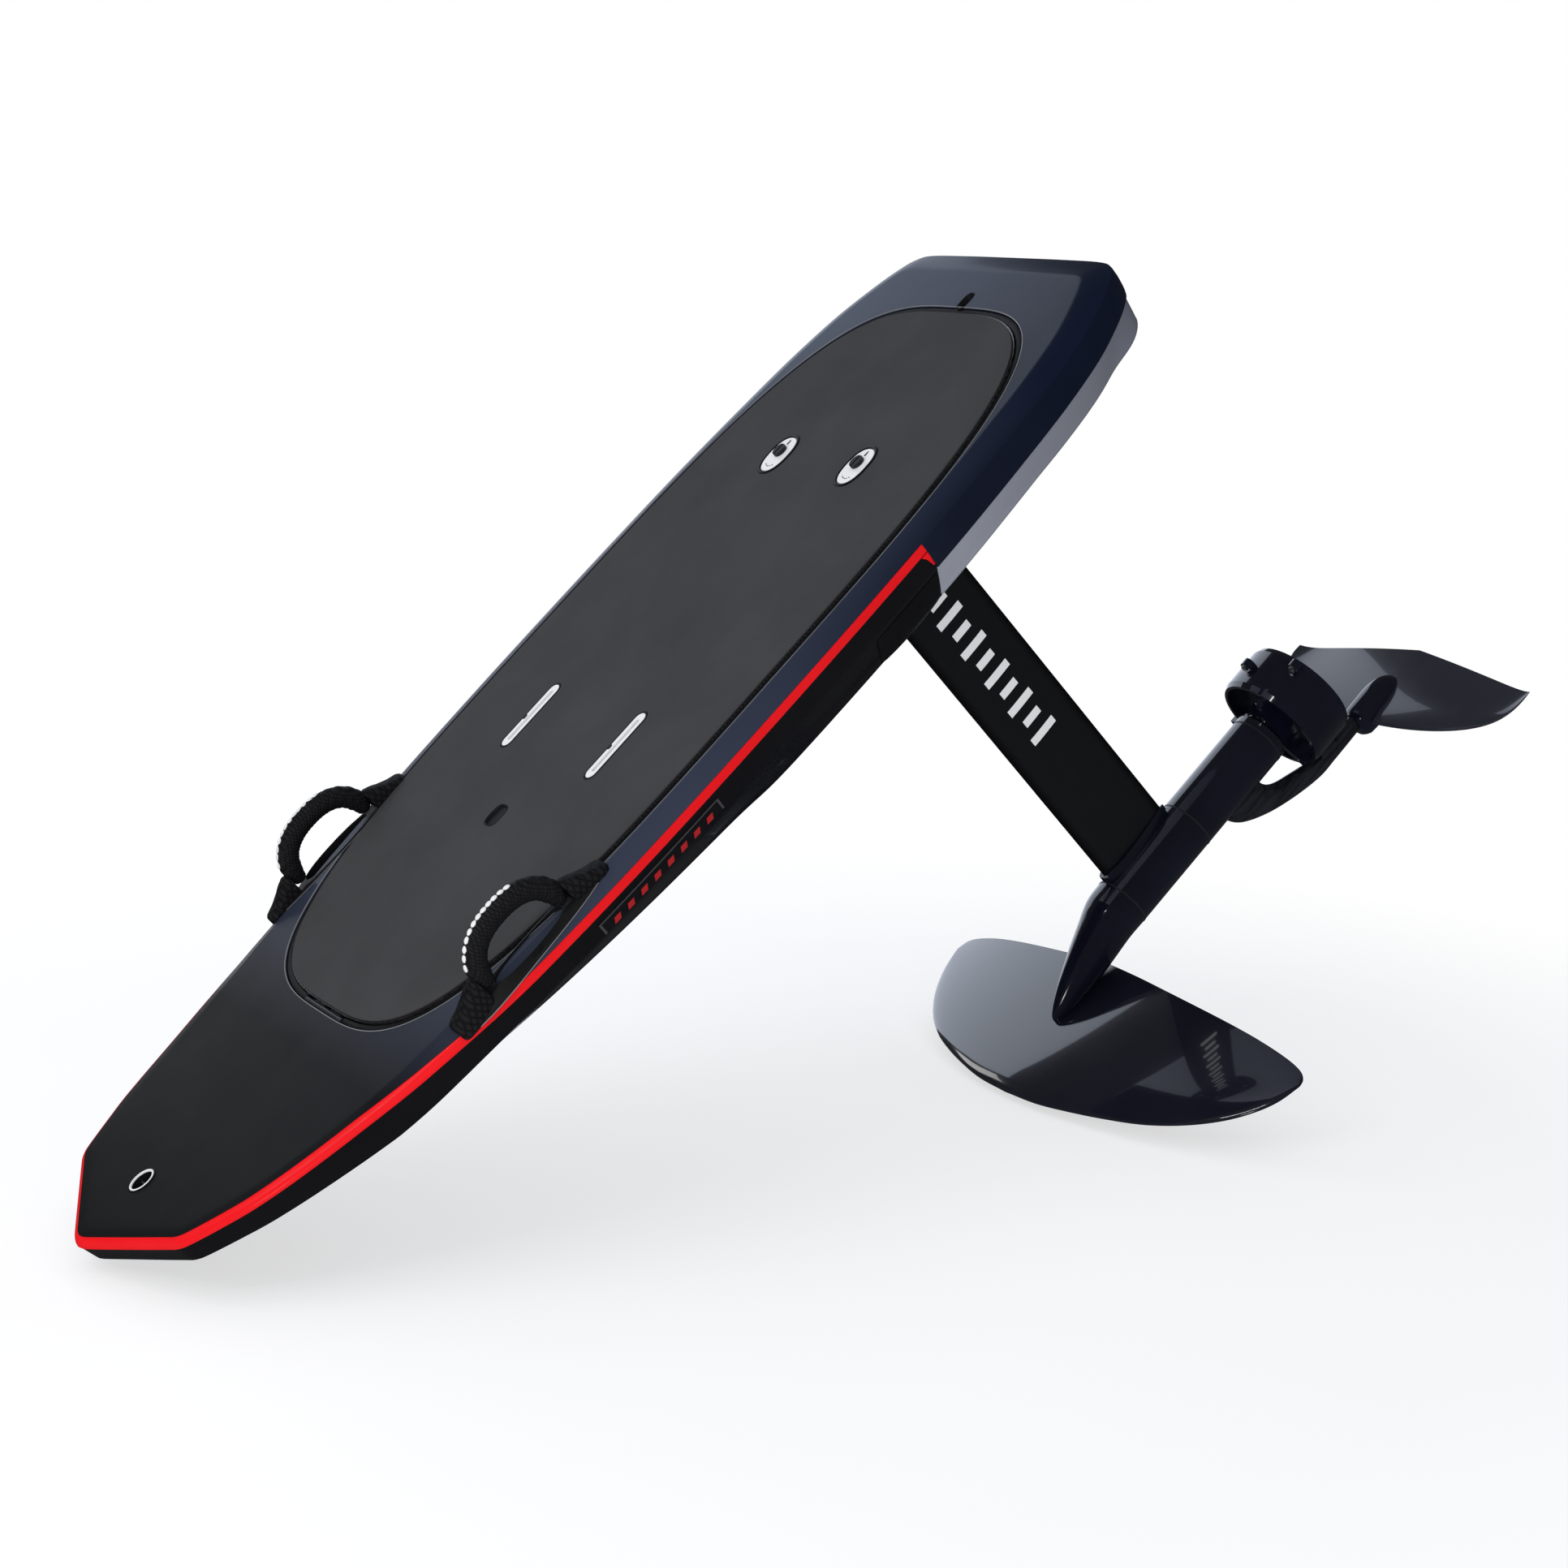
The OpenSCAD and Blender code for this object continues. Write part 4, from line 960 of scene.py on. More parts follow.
@dataclass
class Hatch:
    """Sizes of the hatch that the deck and the pad share."""

    centre: tuple[float, float] = HATCH_CENTRE
    length: float = 1.222
    width: float = 0.604
    power: float = 3.4
    seal: float = 0.010

    def outline(self, grow: float, angles: np.ndarray) -> np.ndarray:
        """The hatch's oval, grown by an amount."""
        return oval(self.length + 2 * grow, self.width + 2 * grow, self.power, angles, self.centre)


    def spread(self, steps: int) -> np.ndarray:
        """Directions from the centre that space the oval's points evenly."""
        fine = np.linspace(0.0, math.tau, 4001)
        points = self.outline(0.0, fine)
        length = np.concatenate([[0.0], np.cumsum(np.linalg.norm(np.diff(points, axis=0), axis=1))])
        return np.interp(np.linspace(0.0, length[-1], steps, endpoint=False), length, fine)


@dataclass
class Board:
    """The painted shells of the board."""

    form: BoardForm
    hatch: Hatch
    body: str = "board"

    def build(self) -> None:
        """Builds the deck, the rails, the hull and the tail."""
        self._deck()
        self._skirt()
        self._stripe()
        self._bottoms()
        self._labels()
        self._guards()

    def _deck(self) -> None:
        """The deck from the hatch's edge out to the ridge, as a closed thin shell."""
        form = self.form
        rim = form.ring(form.edge(form.curve[:, 0]), 0.0)
        angles = np.arctan2(rim[:, 1] - self.hatch.centre[1], rim[:, 0] - self.hatch.centre[0])
        hole = self.hatch.outline(self.hatch.seal, angles)
        lip = self.hatch.outline(self.hatch.seal + 0.0012, angles)
        inner = rim[:, :2]

        def between(share: float, drop: float = 0.0) -> np.ndarray:
            """Ring part of the way from the hatch's lip to the sloping edge."""
            flat = lip * (1 - share) + inner * share
            return raised(flat, form.rise(flat[:, 0]) - drop)

        edge = form.edge(form.curve[:, 0])
        top = [raised(hole, -0.0118), raised(hole, -0.0011), raised(lip, 0.0)]
        top += [between(s) for s in (0.12, 0.28, 0.46, 0.64, 0.82, 0.94)]
        end, drop = form.stripe_top()
        bevel = (
            (0.0, 0.0), (0.10, 0.035), (0.45, 0.36), (0.78, 0.72), (0.92, 0.90), (0.975, 0.955), (1.0, 1.0)
        )
        top += [form.ring(edge * (1 - s) + end * s, drop * d) for s, d in bevel]
        under = [form.ring(end + 0.0070, drop + 0.0030), between(0.9, 0.0118), between(0.4, 0.0118)]
        deck = rings_piece(
            top + under, Piece("deck_surface", self.body, DECK, "deck_paint", ("deck_shell",), 50), True,
            (False, False)
        )
        turn = np.linspace(0, math.tau, 48, endpoint=False)
        cup = oval(0.0372, 0.0362, 2.0, turn, (0.7685, 0.0))
        finger = oval(0.0325, 0.0205, 2.8, turn, (-0.779, 0.004))
        hinge = np.array([[0.4665, -0.0605], [0.476, -0.0605], [0.476, 0.0605], [0.4665, 0.0605]])
        cut_away(deck, [cup, hinge], -0.020, 0.080)
        cut_away(deck, [finger], -0.0082, 0.080)
        liner = bmesh.new()

        def loop(grow: float, height: float) -> np.ndarray:
            """One loop of the finger recess."""
            return raised(oval(0.0325 + 2 * grow, 0.0205 + 2 * grow, 2.8, turn, (-0.779, 0.004)), height)

        steps = (
            (-0.0002, -0.0080), (-0.0002, 0.0004), (-0.0012, 0.0006), (-0.0022, -0.0010), (-0.0045, -0.0062)
        )
        add_rings(liner, [loop(*step) for step in steps], caps=(True, True))
        publish(liner, Piece("finger_recess", self.body, RUBBER, "moulded_black", (), 40))

    def _band(
        self, outer: Rings, inner: Rings, keep: Callable[[np.ndarray], np.ndarray], piece: Piece, spine: bool
    ) -> None:
        """A closed wall between outer and inner rings, for one stretch of the board.

        Args:
            outer: rings of the outer face, top first.
            inner: rings of the inner face, top first.
            keep: tells which columns of quads are kept, from their middle X.
            piece: how it is finished.
            spine: whether the last rings close along the middle.
        """
        mesh = bmesh.new()
        sheets = [[mesh.verts.new(p) for p in ring] for ring in outer + inner[::-1]]
        count = len(sheets[0])
        middle = (self.form.curve[:, 0] + np.roll(self.form.curve[:, 0], -1)) / 2
        columns = np.nonzero(keep(middle))[0]
        pairs = list(zip(sheets, sheets[1:])) + [(sheets[-1], sheets[0])]
        if spine:
            del pairs[len(outer) - 1]
        for first, second in pairs:
            for i in columns:
                j = (i + 1) % count
                mesh.faces.new((first[i], first[j], second[j], second[i]))
        bmesh.ops.delete(mesh, geom=[v for v in mesh.verts if not v.link_faces], context="VERTS")
        bmesh.ops.remove_doubles(mesh, verts=mesh.verts, dist=1e-6)
        bmesh.ops.dissolve_degenerate(mesh, edges=mesh.edges, dist=1e-7)
        open_edges = [e for e in mesh.edges if e.is_boundary]
        if open_edges:
            bmesh.ops.holes_fill(mesh, edges=open_edges, sides=0)
        publish(mesh, piece)

    def _skirt(self) -> None:
        """The deck-coloured rail round the tail."""
        form = self.form
        steps = ((0.0002, 0.0125), (-0.0006, 0.0170), (-0.0004, 0.0300), (0.0012, 0.0440), (0.0034, 0.0519))
        outer = [form.ring(*step) for step in steps]
        inner = [form.ring(0.0072, 0.0150), form.ring(0.0072, 0.0300), form.ring(0.0120, 0.0519)]
        self._band(
            outer, inner, lambda x: x < form.split_x,
            Piece("tail_rail", self.body, DECK, "deck_paint", (), 40), False
        )

    def _stripe(self) -> None:
        """The red stripe round the nose and along both rails, with its short turned-down ends."""
        form = self.form
        top, drop = form.stripe_top()
        foot, low = form.stripe_foot()

        def lane(share: float, bulge: float) -> np.ndarray:
            """One ring down the stripe, pushed outwards by a bulge and crowned at the nose."""
            crown = 4 * share * (1 - share) * 0.0022 * form.lean(form.curve[:, 0])
            offset = top * (1 - share) + foot * share - bulge - crown * 0.35
            return form.ring(offset, drop * (1 - share) + low * share - crown * 0.93)

        steps = (
            (0.02, -0.0006), (0.06, 0.0004), (0.22, 0.0006), (0.5, 0.0009), (0.78, 0.0008), (0.94, 0.0004)
        )
        outer = [lane(*step) for step in (*steps, (1.0, -0.0004))]
        inner = [form.ring(top + 0.0062, drop + 0.0024), form.ring(0.0072, low - 0.0004)]
        self._band(
            outer, inner, lambda x: x > form.split_x,
            Piece("stripe_band", self.body, RED, "stripe_red", ("rail_stripe",), 50), False
        )
        mesh = bmesh.new()
        for side in (1.0, -1.0):
            rows = []
            for drop, wide in ((0.026, 0.0110), (0.032, 0.0065), (0.040, 0.0040), (0.048, 0.0022)):
                x0 = form.split_x
                out = 0.0012 + max(0.0, (drop - 0.030) * 0.27)
                y0 = float(form.half_width(np.array(x0))) - out + 0.0012
                corners = ((0.0, 0.0), (wide, 0.0), (wide, 0.004), (0.0, 0.004))
                rows.append(np.array([[x0 + a, side * (y0 - b), -drop] for a, b in corners]))
            add_rings(mesh, rows, caps=(True, True))
        publish(mesh, Piece("stripe_ends", self.body, RED, "stripe_red", (), 30))

    def _bottoms(self) -> None:
        """The black hull forward and the silver pan aft."""
        form = self.form
        x = form.curve[:, 0]
        keel = form.depth(x)
        across = np.abs(form.inward)
        chine = np.interp(
            x, [-0.875, -0.845, -0.80, -0.60, 0.0, 0.55, 0.875],
            [0.008, 0.016, 0.042, 0.053, 0.055, 0.042, 0.012]
        )
        chine = np.where(x < -0.5, across[:, 1] * chine + across[:, 0] * 0.0062, chine)
        foot, low = form.stripe_foot()
        side = np.minimum(0.052, keel * 0.80)
        spine = np.column_stack([np.clip(x, -0.78, 0.78), np.zeros(len(x))])

        def to_spine(ring: np.ndarray, share: float, lift: float) -> np.ndarray:
            """A ring moved part of the way to the middle line, at keel depth."""
            flat = ring[:, :2] * (1 - share) + spine * share
            return raised(flat, form.rise(flat[:, 0]) - form.depth(flat[:, 0]) + lift)

        turn = form.eased(form.ring(chine, keel - 0.0045), 8)
        rim = form.ring(0.0062, side)
        walls = [
            form.ring(foot + 0.0006, low + 0.0001),
            form.ring(foot + 0.0014, low + 0.0020),
            form.ring(0.0050, np.minimum(0.0500, side - 0.001)),
            rim,
            rim * 0.65 + turn * 0.35,
            rim * 0.28 + turn * 0.72,
            rim * 0.05 + turn * 0.95 + np.array([0.0, 0.0, 0.0010]),
            turn,
            to_spine(turn, 0.04, 0.0028),
        ]
        floor = [to_spine(walls[-1], share, 0.0006 * (1 - share)) for share in (0.25, 0.5, 0.75, 1.0)]
        thick = 0.0055
        inner_walls = [
            form.ring(0.0085, low + 0.0002),
            form.ring(0.0110, side),
            to_spine(turn, 0.02, 0.0045 + thick),
        ]
        inner_floor = [to_spine(inner_walls[-1], share, thick) for share in (0.5, 1.0)]
        self._band(
            walls + floor, inner_walls + inner_floor, lambda v: v > form.split_x,
            Piece("hull_surface", self.body, HULL, "hull_paint", ("hull_shell",), 24), True
        )
        pan_inner = [form.ring(0.0118, 0.0521), inner_walls[1] - np.array([0, 0, 0.002]), inner_walls[2]]
        pan_walls = [form.ring(0.0064, 0.0521)] + walls[4:]
        self._band(
            pan_walls + floor, pan_inner + inner_floor, lambda v: v < form.split_x,
            Piece("tail_surface", self.body, TAIL, "tail_silver", ("tail_pan",), 75), True
        )

    def _wall_point(self, x: float, drop: float, side: float, out: float) -> np.ndarray:
        """A point on the rail's wall.

        Args:
            x: place along the board.
            drop: metres below the deck.
            side: 1 for port, -1 for starboard.
            out: metres outwards from the wall.

        Returns:
            The point.
        """
        inset = 0.0010 + max(0.0, drop - 0.030) * 0.235
        return np.array([x, side * (float(self.form.half_width(np.array(x))) - inset + out), -drop])

    def _labels(self) -> None:
        """The label strips, curved to the rails."""
        low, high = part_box("label_panels")
        back, front = low.x - FRAME.middle_x, high.x - FRAME.middle_x
        coat = LabelCoat("label_coat", low.x, high.x, low.z, high.z)
        mesh = bmesh.new()
        for side in (1.0, -1.0):
            rows = []
            for x in np.linspace(back, front, 48):
                drops = np.linspace(0.0345, 0.0505, 7)
                outer = [self._wall_point(x, d, side, 0.0011) for d in drops]
                inner = [self._wall_point(x, d, side, -0.0020) for d in drops[::-1]]
                rows.append(np.array(outer + inner))
            add_rings(mesh, rows, caps=(True, True))
        publish(mesh, Piece("label_strips", self.body, coat, "label_black", ("label_panels",), 35))

    def _guards(self) -> None:
        """The black guards that thicken the chine ahead of the mast."""
        low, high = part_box("chine_guards")
        back, front = low.x - FRAME.middle_x, high.x - FRAME.middle_x
        mesh = bmesh.new()
        for side in (1.0, -1.0):
            rows = []
            for share in np.linspace(0.0, 1.0, 26):
                x = back + (front - back) * share
                swell = 0.0040 * math.sin(math.pi * min(1.0, share * 1.02 + 0.0)) ** 0.5
                width = float(self.form.half_width(np.array(x)))
                deep = float(self.form.depth(np.array(x)))
                points = [
                    (0.012, 0.060), (0.022, 0.074), (0.036, 0.089), (0.047, 0.101), (0.056, deep - 0.0045),
                    (0.070, deep - 0.001), (0.082, deep)
                ]
                outer = []
                for inset, drop in points:
                    lean = swell * math.sin(math.pi * min(1.0, max(0.0, (inset - 0.008) / 0.078)))
                    outer.append([x, side * (width - inset + lean * 0.75), -drop - lean * 0.75])
                inner = [[x, side * (width - inset - 0.006), -drop + 0.006] for inset, drop in points[::-1]]
                rows.append(np.array(outer + inner))
            add_rings(mesh, rows, caps=(True, True))
        publish(mesh, Piece("chine_pads", self.body, MOULDED, "moulded_black", ("chine_guards",), 40))


@dataclass
class HatchLid:
    """The foam pad, the seal and the fittings on the hatch."""

    hatch: Hatch
    latch_y: float = 0.100
    latch_x: float = -0.4785
    track_y: float = 0.1245
    body: str = "lid"

    def build(self) -> None:
        """Builds the pad, the seal, the bezels and the marks."""
        self._pad()
        self._seal()
        self._bezels()
        self._marks()
        self._track_rims()

    def _pad(self) -> None:
        """The foam pad, with rounded edges and holes for its fittings."""
        angles = self.hatch.spread(480)
        rings = []
        for grow, height in (
            (-0.0026, 0.0002), (-0.0022, 0.0008), (-0.0022, 0.0021), (-0.0027, 0.0027), (-0.0038, 0.0030)
        ):
            rings.append(raised(self.hatch.outline(grow, angles), height))
        for share in (0.94, 0.80, 0.60, 0.35, 0.12):
            flat = (
                self.hatch.outline(-0.0038, angles) - np.array(self.hatch.centre)
            ) * share + np.array(self.hatch.centre)
            rings.append(raised(flat, 0.0030 + 0.0004 * (1 - share)))
        pad = rings_piece(
            rings, Piece("foam_pad", self.body, PAD, "pad_foam", ("deck_pad",), 35), caps=(True, True)
        )
        around = np.linspace(0.0, math.tau, 56, endpoint=False)
        holes = [oval(0.0725, 0.0565, 2.3, around, (self.latch_x, s * self.latch_y)) for s in (1, -1)]
        holes += [slot_outline(0.1150, 0.0270, (0.003, s * self.track_y), 40) for s in (1, -1)]
        holes += [oval(0.0365, 0.0335, 3.0, around, (0.149, 0.003))]
        cut_away(pad, holes, -0.010, 0.020)
        mesh = bmesh.new()
        tops = [
            raised(oval(0.0360 - g, 0.0330 - g, 3.0, around, (0.149, 0.003)), h) for g,
            h in (
                (0.0, 0.0002), (0.0, 0.0031), (0.0020, 0.0034), (0.0036, 0.0026), (0.0060, 0.0009),
                (0.0200, 0.0006)
            )
        ]
        add_rings(mesh, tops, caps=(True, True))
        publish(mesh, Piece("key_socket", self.body, RUBBER, "moulded_black", (), 40))

    def _seal(self) -> None:
        """The black seal in the groove and the thin pale edge round it."""
        angles = self.hatch.spread(480)
        rows = []
        for grow, height in (
            (0.0006, -0.0118), (0.0004, -0.0040), (0.0012, -0.0022), (0.0035, -0.0014), (0.0062, -0.0014),
            (0.0086, -0.0022), (0.0096, -0.0042), (0.0098, -0.0118)
        ):
            rows.append(raised(self.hatch.outline(grow, angles), height))
        seal = rings_piece(
            rows, Piece("seal_ring", "board", RUBBER, "seal_rubber", ("lid_seal",), 40), True, (False, False)
        )
        gap = np.array([[0.4580, -0.0625], [0.4900, -0.0625], [0.4900, 0.0625], [0.4580, 0.0625]])
        cut_away(seal, [gap], -0.030, 0.020)
        rows = [
            raised(self.hatch.outline(g, angles), h) for g,
            h in ((0.0101, -0.0009), (0.0104, 0.0002), (0.0112, 0.0004), (0.0118, -0.0003))
        ]
        rings_piece(rows, Piece("seal_edge", "board", OUTLINE, "seal_rubber", (), 40), True, (False, False))

    def _bezels(self) -> None:
        """Round-topped black rings and dished white plates of the latches."""
        around = np.linspace(0.0, math.tau, 72, endpoint=False)
        ring = bmesh.new()
        plate = bmesh.new()
        for side in (1, -1):
            centre = (self.latch_x, side * self.latch_y)

            def loop(grow: float, height: float) -> np.ndarray:
                """One loop of the latch's oval."""
                return raised(oval(0.062 + 2 * grow, 0.046 + 2 * grow, 2.3, around, centre), height)

            steps = ((0.0003, 0.0), (0.0003, 0.0036), (0.0012, 0.0045), (0.0032, 0.0046), (0.0046, 0.0038))
            rows = [loop(*step) for step in (*steps, (0.0050, 0.0020), (0.0050, 0.0))]
            add_rings(ring, rows, loop=True)
            hub = oval(0.0240, 0.0240, 2.0, around, (-0.483, side * self.latch_y))
            post = oval(0.0104, 0.0104, 2.0, around, (-0.483, side * self.latch_y))
            steps = (
                (-0.0001, 0.0), (-0.0001, 0.0034), (-0.0010, 0.0040), (-0.0040, 0.0038), (-0.0100, 0.0036)
            )
            tops = [loop(*step) for step in steps] + [
                raised(hub, 0.0038), raised(post, 0.0038), raised(post, 0.0)
            ]
            add_rings(plate, tops, loop=True)
        publish(ring, Piece("latch_rings", self.body, MOULDED, "moulded_black", ("latch_bezels",), 45))
        publish(plate, Piece("latch_discs", self.body, WHITE, "white_plastic", ("latch_plates",), 35))

    def _marks(self) -> None:
        """Dark open and shut marks moulded into the latch discs."""
        mesh = bmesh.new()
        for side in (1, -1):
            for arc in (-0.50, -0.25, 0.0, 0.25, 0.50):
                spot = np.array(
                    [self.latch_x + 0.0222 * math.cos(arc), side * self.latch_y + 0.0170 * math.sin(arc)]
                )
                dot = oval(0.0016, 0.0024, 2.0, np.linspace(0.0, math.tau, 16, endpoint=False))
                add_rings(mesh, [raised(dot + spot, 0.0034), raised(dot + spot, 0.0040)], caps=(True, True))
            bar = np.array(
                [[-0.5045, -0.0009], [-0.4965, -0.0016], [-0.4965, 0.0016], [-0.5045, 0.0009]]
            ) + np.array([0.0, side * self.latch_y])
            add_rings(mesh, [raised(bar, 0.0034), raised(bar, 0.0042)], caps=(True, True))
        publish(mesh, Piece("latch_marks", self.body, RUBBER, "moulded_black", (), 30))

    def _track_rims(self) -> None:
        """Black rims round the strap tracks and the slit down each track."""
        mesh = bmesh.new()
        for side in (1, -1):
            outline = slot_outline(0.108, 0.020, (0.003, side * self.track_y), 40)
            rows = [
                raised(grown(outline, g), h) for g,
                h in (
                    (0.0002, 0.0), (0.0002, 0.0034), (0.0010, 0.0038), (0.0026, 0.0036), (0.0032, 0.0028),
                    (0.0032, 0.0)
                )
            ]
            add_rings(mesh, rows, loop=True)
            notch = slot_outline(0.008, 0.005, (0.008, side * self.track_y - 0.0085), 16)
            add_rings(mesh, [raised(notch, 0.0030), raised(notch, 0.0039)], caps=(True, True))
        publish(mesh, Piece("track_rims", self.body, RUBBER, "moulded_black", (), 40))


@dataclass
class LeashPlug:
    """Rounded rim of the cup near the nose."""

    x: float = 0.768
    tilt: float = -7.0
    body: str = "board"

    def build(self, form: BoardForm) -> None:
        """Builds the rim and a dark ring round it."""
        height = float(form.rise(np.array(self.x)))
        turn = np.linspace(0.0, math.tau, 64, endpoint=False)
        lean = Matrix.Rotation(math.radians(self.tilt), 3, "Y")

        def ring(radius: float, up: float) -> np.ndarray:
            """One ring about the cup's axis."""
            points = [lean @ Vector((radius * math.cos(a), radius * math.sin(a), up)) for a in turn]
            return np.array(points) + np.array([self.x, 0.0, height])

        rim = (
            (0.0152, -0.0022), (0.0151, 0.0008), (0.0158, 0.0015), (0.0168, 0.0016), (0.0178, 0.0011),
            (0.0180, -0.0022)
        )
        rows = [ring(*step) for step in rim]
        rings_piece(
            rows, Piece("cup_rim", self.body, WHITE, "white_plastic", ("leash_rim",), 50), True,
            (False, False)
        )
        gasket = ((0.0181, -0.0010), (0.0181, 0.0009), (0.0190, 0.0012), (0.0200, 0.0006), (0.0201, -0.0010))
        rows = [ring(*step) for step in gasket]
        rings_piece(
            rows, Piece("cup_gasket", self.body, RUBBER, "moulded_black", (), 50), True, (False, False)
        )


@dataclass
class Handle:
    """One carrying handle: braided grip, reflective beads, wrapped feet and its boot."""

    form: BoardForm
    side: float
    x: float = 0.280
    y: float = 0.305
    pivot: float = 0.013
    reach: float = 0.0635
    rise: float = 0.0490
    radius: float = 0.0150

    @property
    def word(self) -> str:
        """Which side the handle is on."""
        return "port" if self.side > 0 else "starboard"

    def build(self) -> None:
        """Builds the grip, its beads, the feet and the boot."""
        self._grip()
        self._beads()
        self._studs()
        for way in (1.0, -1.0):
            self._foot(way)
        self._boot()

    def _path(self, steps: int) -> np.ndarray:
        """The grip's middle line, from its front foot to its rear foot."""
        turn = np.linspace(0.0, math.pi, 720)
        c, s = np.cos(turn), np.sin(turn)
        line = np.stack([self.reach * np.sign(c) * np.abs(c) ** 0.87, self.rise * np.abs(s) ** 0.87], 1)
        length = np.concatenate([[0.0], np.cumsum(np.linalg.norm(np.diff(line, axis=0), axis=1))])
        at = np.linspace(0.0, length[-1], steps)
        x, z = np.interp(at, length, line[:, 0]), np.interp(at, length, line[:, 1])
        return np.column_stack([self.x + x, np.full(steps, self.side * self.y), self.pivot + z])

    def _grip(self) -> None:
        """The braided sleeve, rounded off round the studs."""
        path = self._path(170)

        def braid(share: float, turn: np.ndarray) -> np.ndarray:
            """Radii of the crossed strands at one place."""
            lay = share * 46.0
            slim = 1.0 - 0.24 * max(0.0, 1.0 - min(share, 1.0 - share) / 0.10) ** 1.5
            strands = np.abs(np.sin(2.0 * turn + lay)) * np.abs(np.sin(2.0 * turn - lay))
            return self.radius * slim * (0.93 + 0.07 * strands**0.6)

        rings = tube(path, braid, 36)
        for end, order in ((rings[0].copy(), 1), (rings[-1].copy(), -1)):
            middle = end.mean(0)
            extra = [
                middle + (end - middle) * math.cos(a) - np.array([0.0, 0.0, 0.0085 * math.sin(a)]) for a in (
                    0.35, 0.7, 1.05, 1.35, 1.5
                )
            ]
            rings = extra[::-1] + rings if order == 1 else rings + extra
        wraps = rings_piece(
            rings,
            Piece(
                f"grip_sleeve_{self.word}", f"grip_{self.word}", SLEEVE, "grip_sleeve",
                (f"handle_{self.word}",), 60
            )
        )

    def _beads(self) -> None:
        """Pale reflective beads along the outer ridge."""
        path = self._path(400)
        centre = np.array([self.x, self.side * self.y, self.pivot])
        across = np.array([0.0, self.side, 0.0])
        mesh = bmesh.new()
        turn = np.linspace(0.0, math.tau, 18, endpoint=False)
        for spot in np.linspace(0.13, 0.64, 12):
            index = int(spot * 398) + 1
            along = path[index + 1] - path[index - 1]
            along /= np.linalg.norm(along)
            radial = path[index] - centre
            radial -= along * radial.dot(along)
            out = radial / np.linalg.norm(radial) * 0.994 + across * 0.11
            wide = np.cross(along, out)
            base = path[index] + out * (self.radius * 0.965)
            rows = []
            for height, size in ((-0.0014, 1.0), (0.0006, 1.0), (0.0014, 0.72), (0.0017, 0.30)):
                flat = np.cos(turn)[:, None] * along * 0.0047 + np.sin(turn)[:, None] * wide * 0.0036
                rows.append(base + out * height + flat * size)
            add_rings(mesh, rows, caps=(True, True))
        publish(mesh, Piece(f"grip_beads_{self.word}", f"grip_{self.word}", WHITE, "white_plastic", (), 60))

    def _studs(self) -> None:
        """The steel studs that the grip turns on."""
        mesh = bmesh.new()
        for way in (1.0, -1.0):
            start, end = self.x + way * 0.0605, self.x + way * 0.0883
            rows = lathe([(start, 0.0040), (end - way * 0.0008, 0.0040), (end, 0.0034)], self.pivot, 28)
            add_rings(mesh, [r + np.array([0.0, self.side * self.y, 0.0]) for r in rows], caps=(True, True))
        publish(mesh, Piece(f"grip_studs_{self.word}", f"grip_{self.word}", STEEL, "steel", (), 40))

    def _foot(self, way: float) -> None:
        """One wrapped foot that covers an anchor and runs down to the deck.

        Args:
            way: 1 for the front foot, -1 for the rear foot.
        """
        table = smooth_rows(
            [
                (0.0745, 0.0145, 0.0265), (0.082, 0.0150, 0.0262), (0.093, 0.0158, 0.0208),
                (0.105, 0.0165, 0.0140), (0.117, 0.0170, 0.0088), (0.126, 0.0160, 0.0060),
                (0.1305, 0.0105, 0.0034)
            ],
            40
        )
        turn = np.linspace(0.0, math.pi, 21)
        rows = []
        for k, (reach, half, tall) in enumerate(table):
            swell = 1.0 + 0.022 * abs(math.sin(k * 0.40))
            x = self.x + way * reach
            y = self.side * self.y + half * swell * np.sign(np.cos(turn)) * np.abs(np.cos(turn)) ** 0.6
            floor = np.array([self.form.deck_height(x, float(v)) for v in y])
            top = np.abs(np.sin(turn)) ** 0.55 * tall * swell
            upper = np.column_stack(
                [np.full(21, x), y, np.maximum(floor, top + floor * (1 - np.abs(np.sin(turn)))) + 0.0004]
            )
            lower = np.column_stack([np.full(19, x), y[1:-1][::-1], floor[1:-1][::-1] - 0.0002])
            rows.append(np.vstack([upper, lower]))
        name = "front" if way > 0 else "rear"
        foot = rings_piece(
            rows, Piece(f"grip_foot_{name}_{self.word}", "board", WRAP, "seal_rubber", (), 60)
        )

    def _boot(self) -> None:
        """The rubber boot, flat on top and shaped to the deck below, with a pale edge."""
        around = np.linspace(0.0, math.tau, 120, endpoint=False)
        centre = (self.x, self.side * self.y)
        outer = oval(0.262, 0.0440, 2.8, around, centre)
        inner = oval(0.116, 0.0350, 2.2, around, centre)

        def sunk(flat: np.ndarray, up: float) -> np.ndarray:
            """Points laid on the deck's own slope."""
            return raised(flat, np.array([self.form.deck_height(px, py) + up for px, py in flat]))

        rows = [
            sunk(inner, 0.0), raised(inner, np.maximum(sunk(inner, 0.0012)[:, 2], 0.0010)), raised(
                grown(inner, 0.0012), 0.0019
            ),
            sunk(grown(outer, -0.0030), 0.0019), sunk(
                grown(outer, -0.0010), 0.0013
            ), sunk(outer, 0.0002), sunk(grown(outer, -0.0010), -0.0006),
        ]
        boot = rings_piece(
            rows, Piece(f"boot_{self.word}", "board", RUBBER, "seal_rubber", (), 50), True, (False, False)
        )
        if self.side > 0:
            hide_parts("handle_boots")
        rows = [
            sunk(grown(outer, g), h) for g,
            h in ((0.0001, 0.0), (0.0001, 0.0006), (0.0009, 0.0006), (0.0009, 0.0))
        ]
        rings_piece(
            rows, Piece(f"boot_edge_{self.word}", "board", OUTLINE, "seal_rubber", (), 50), True,
            (False, False)
        )


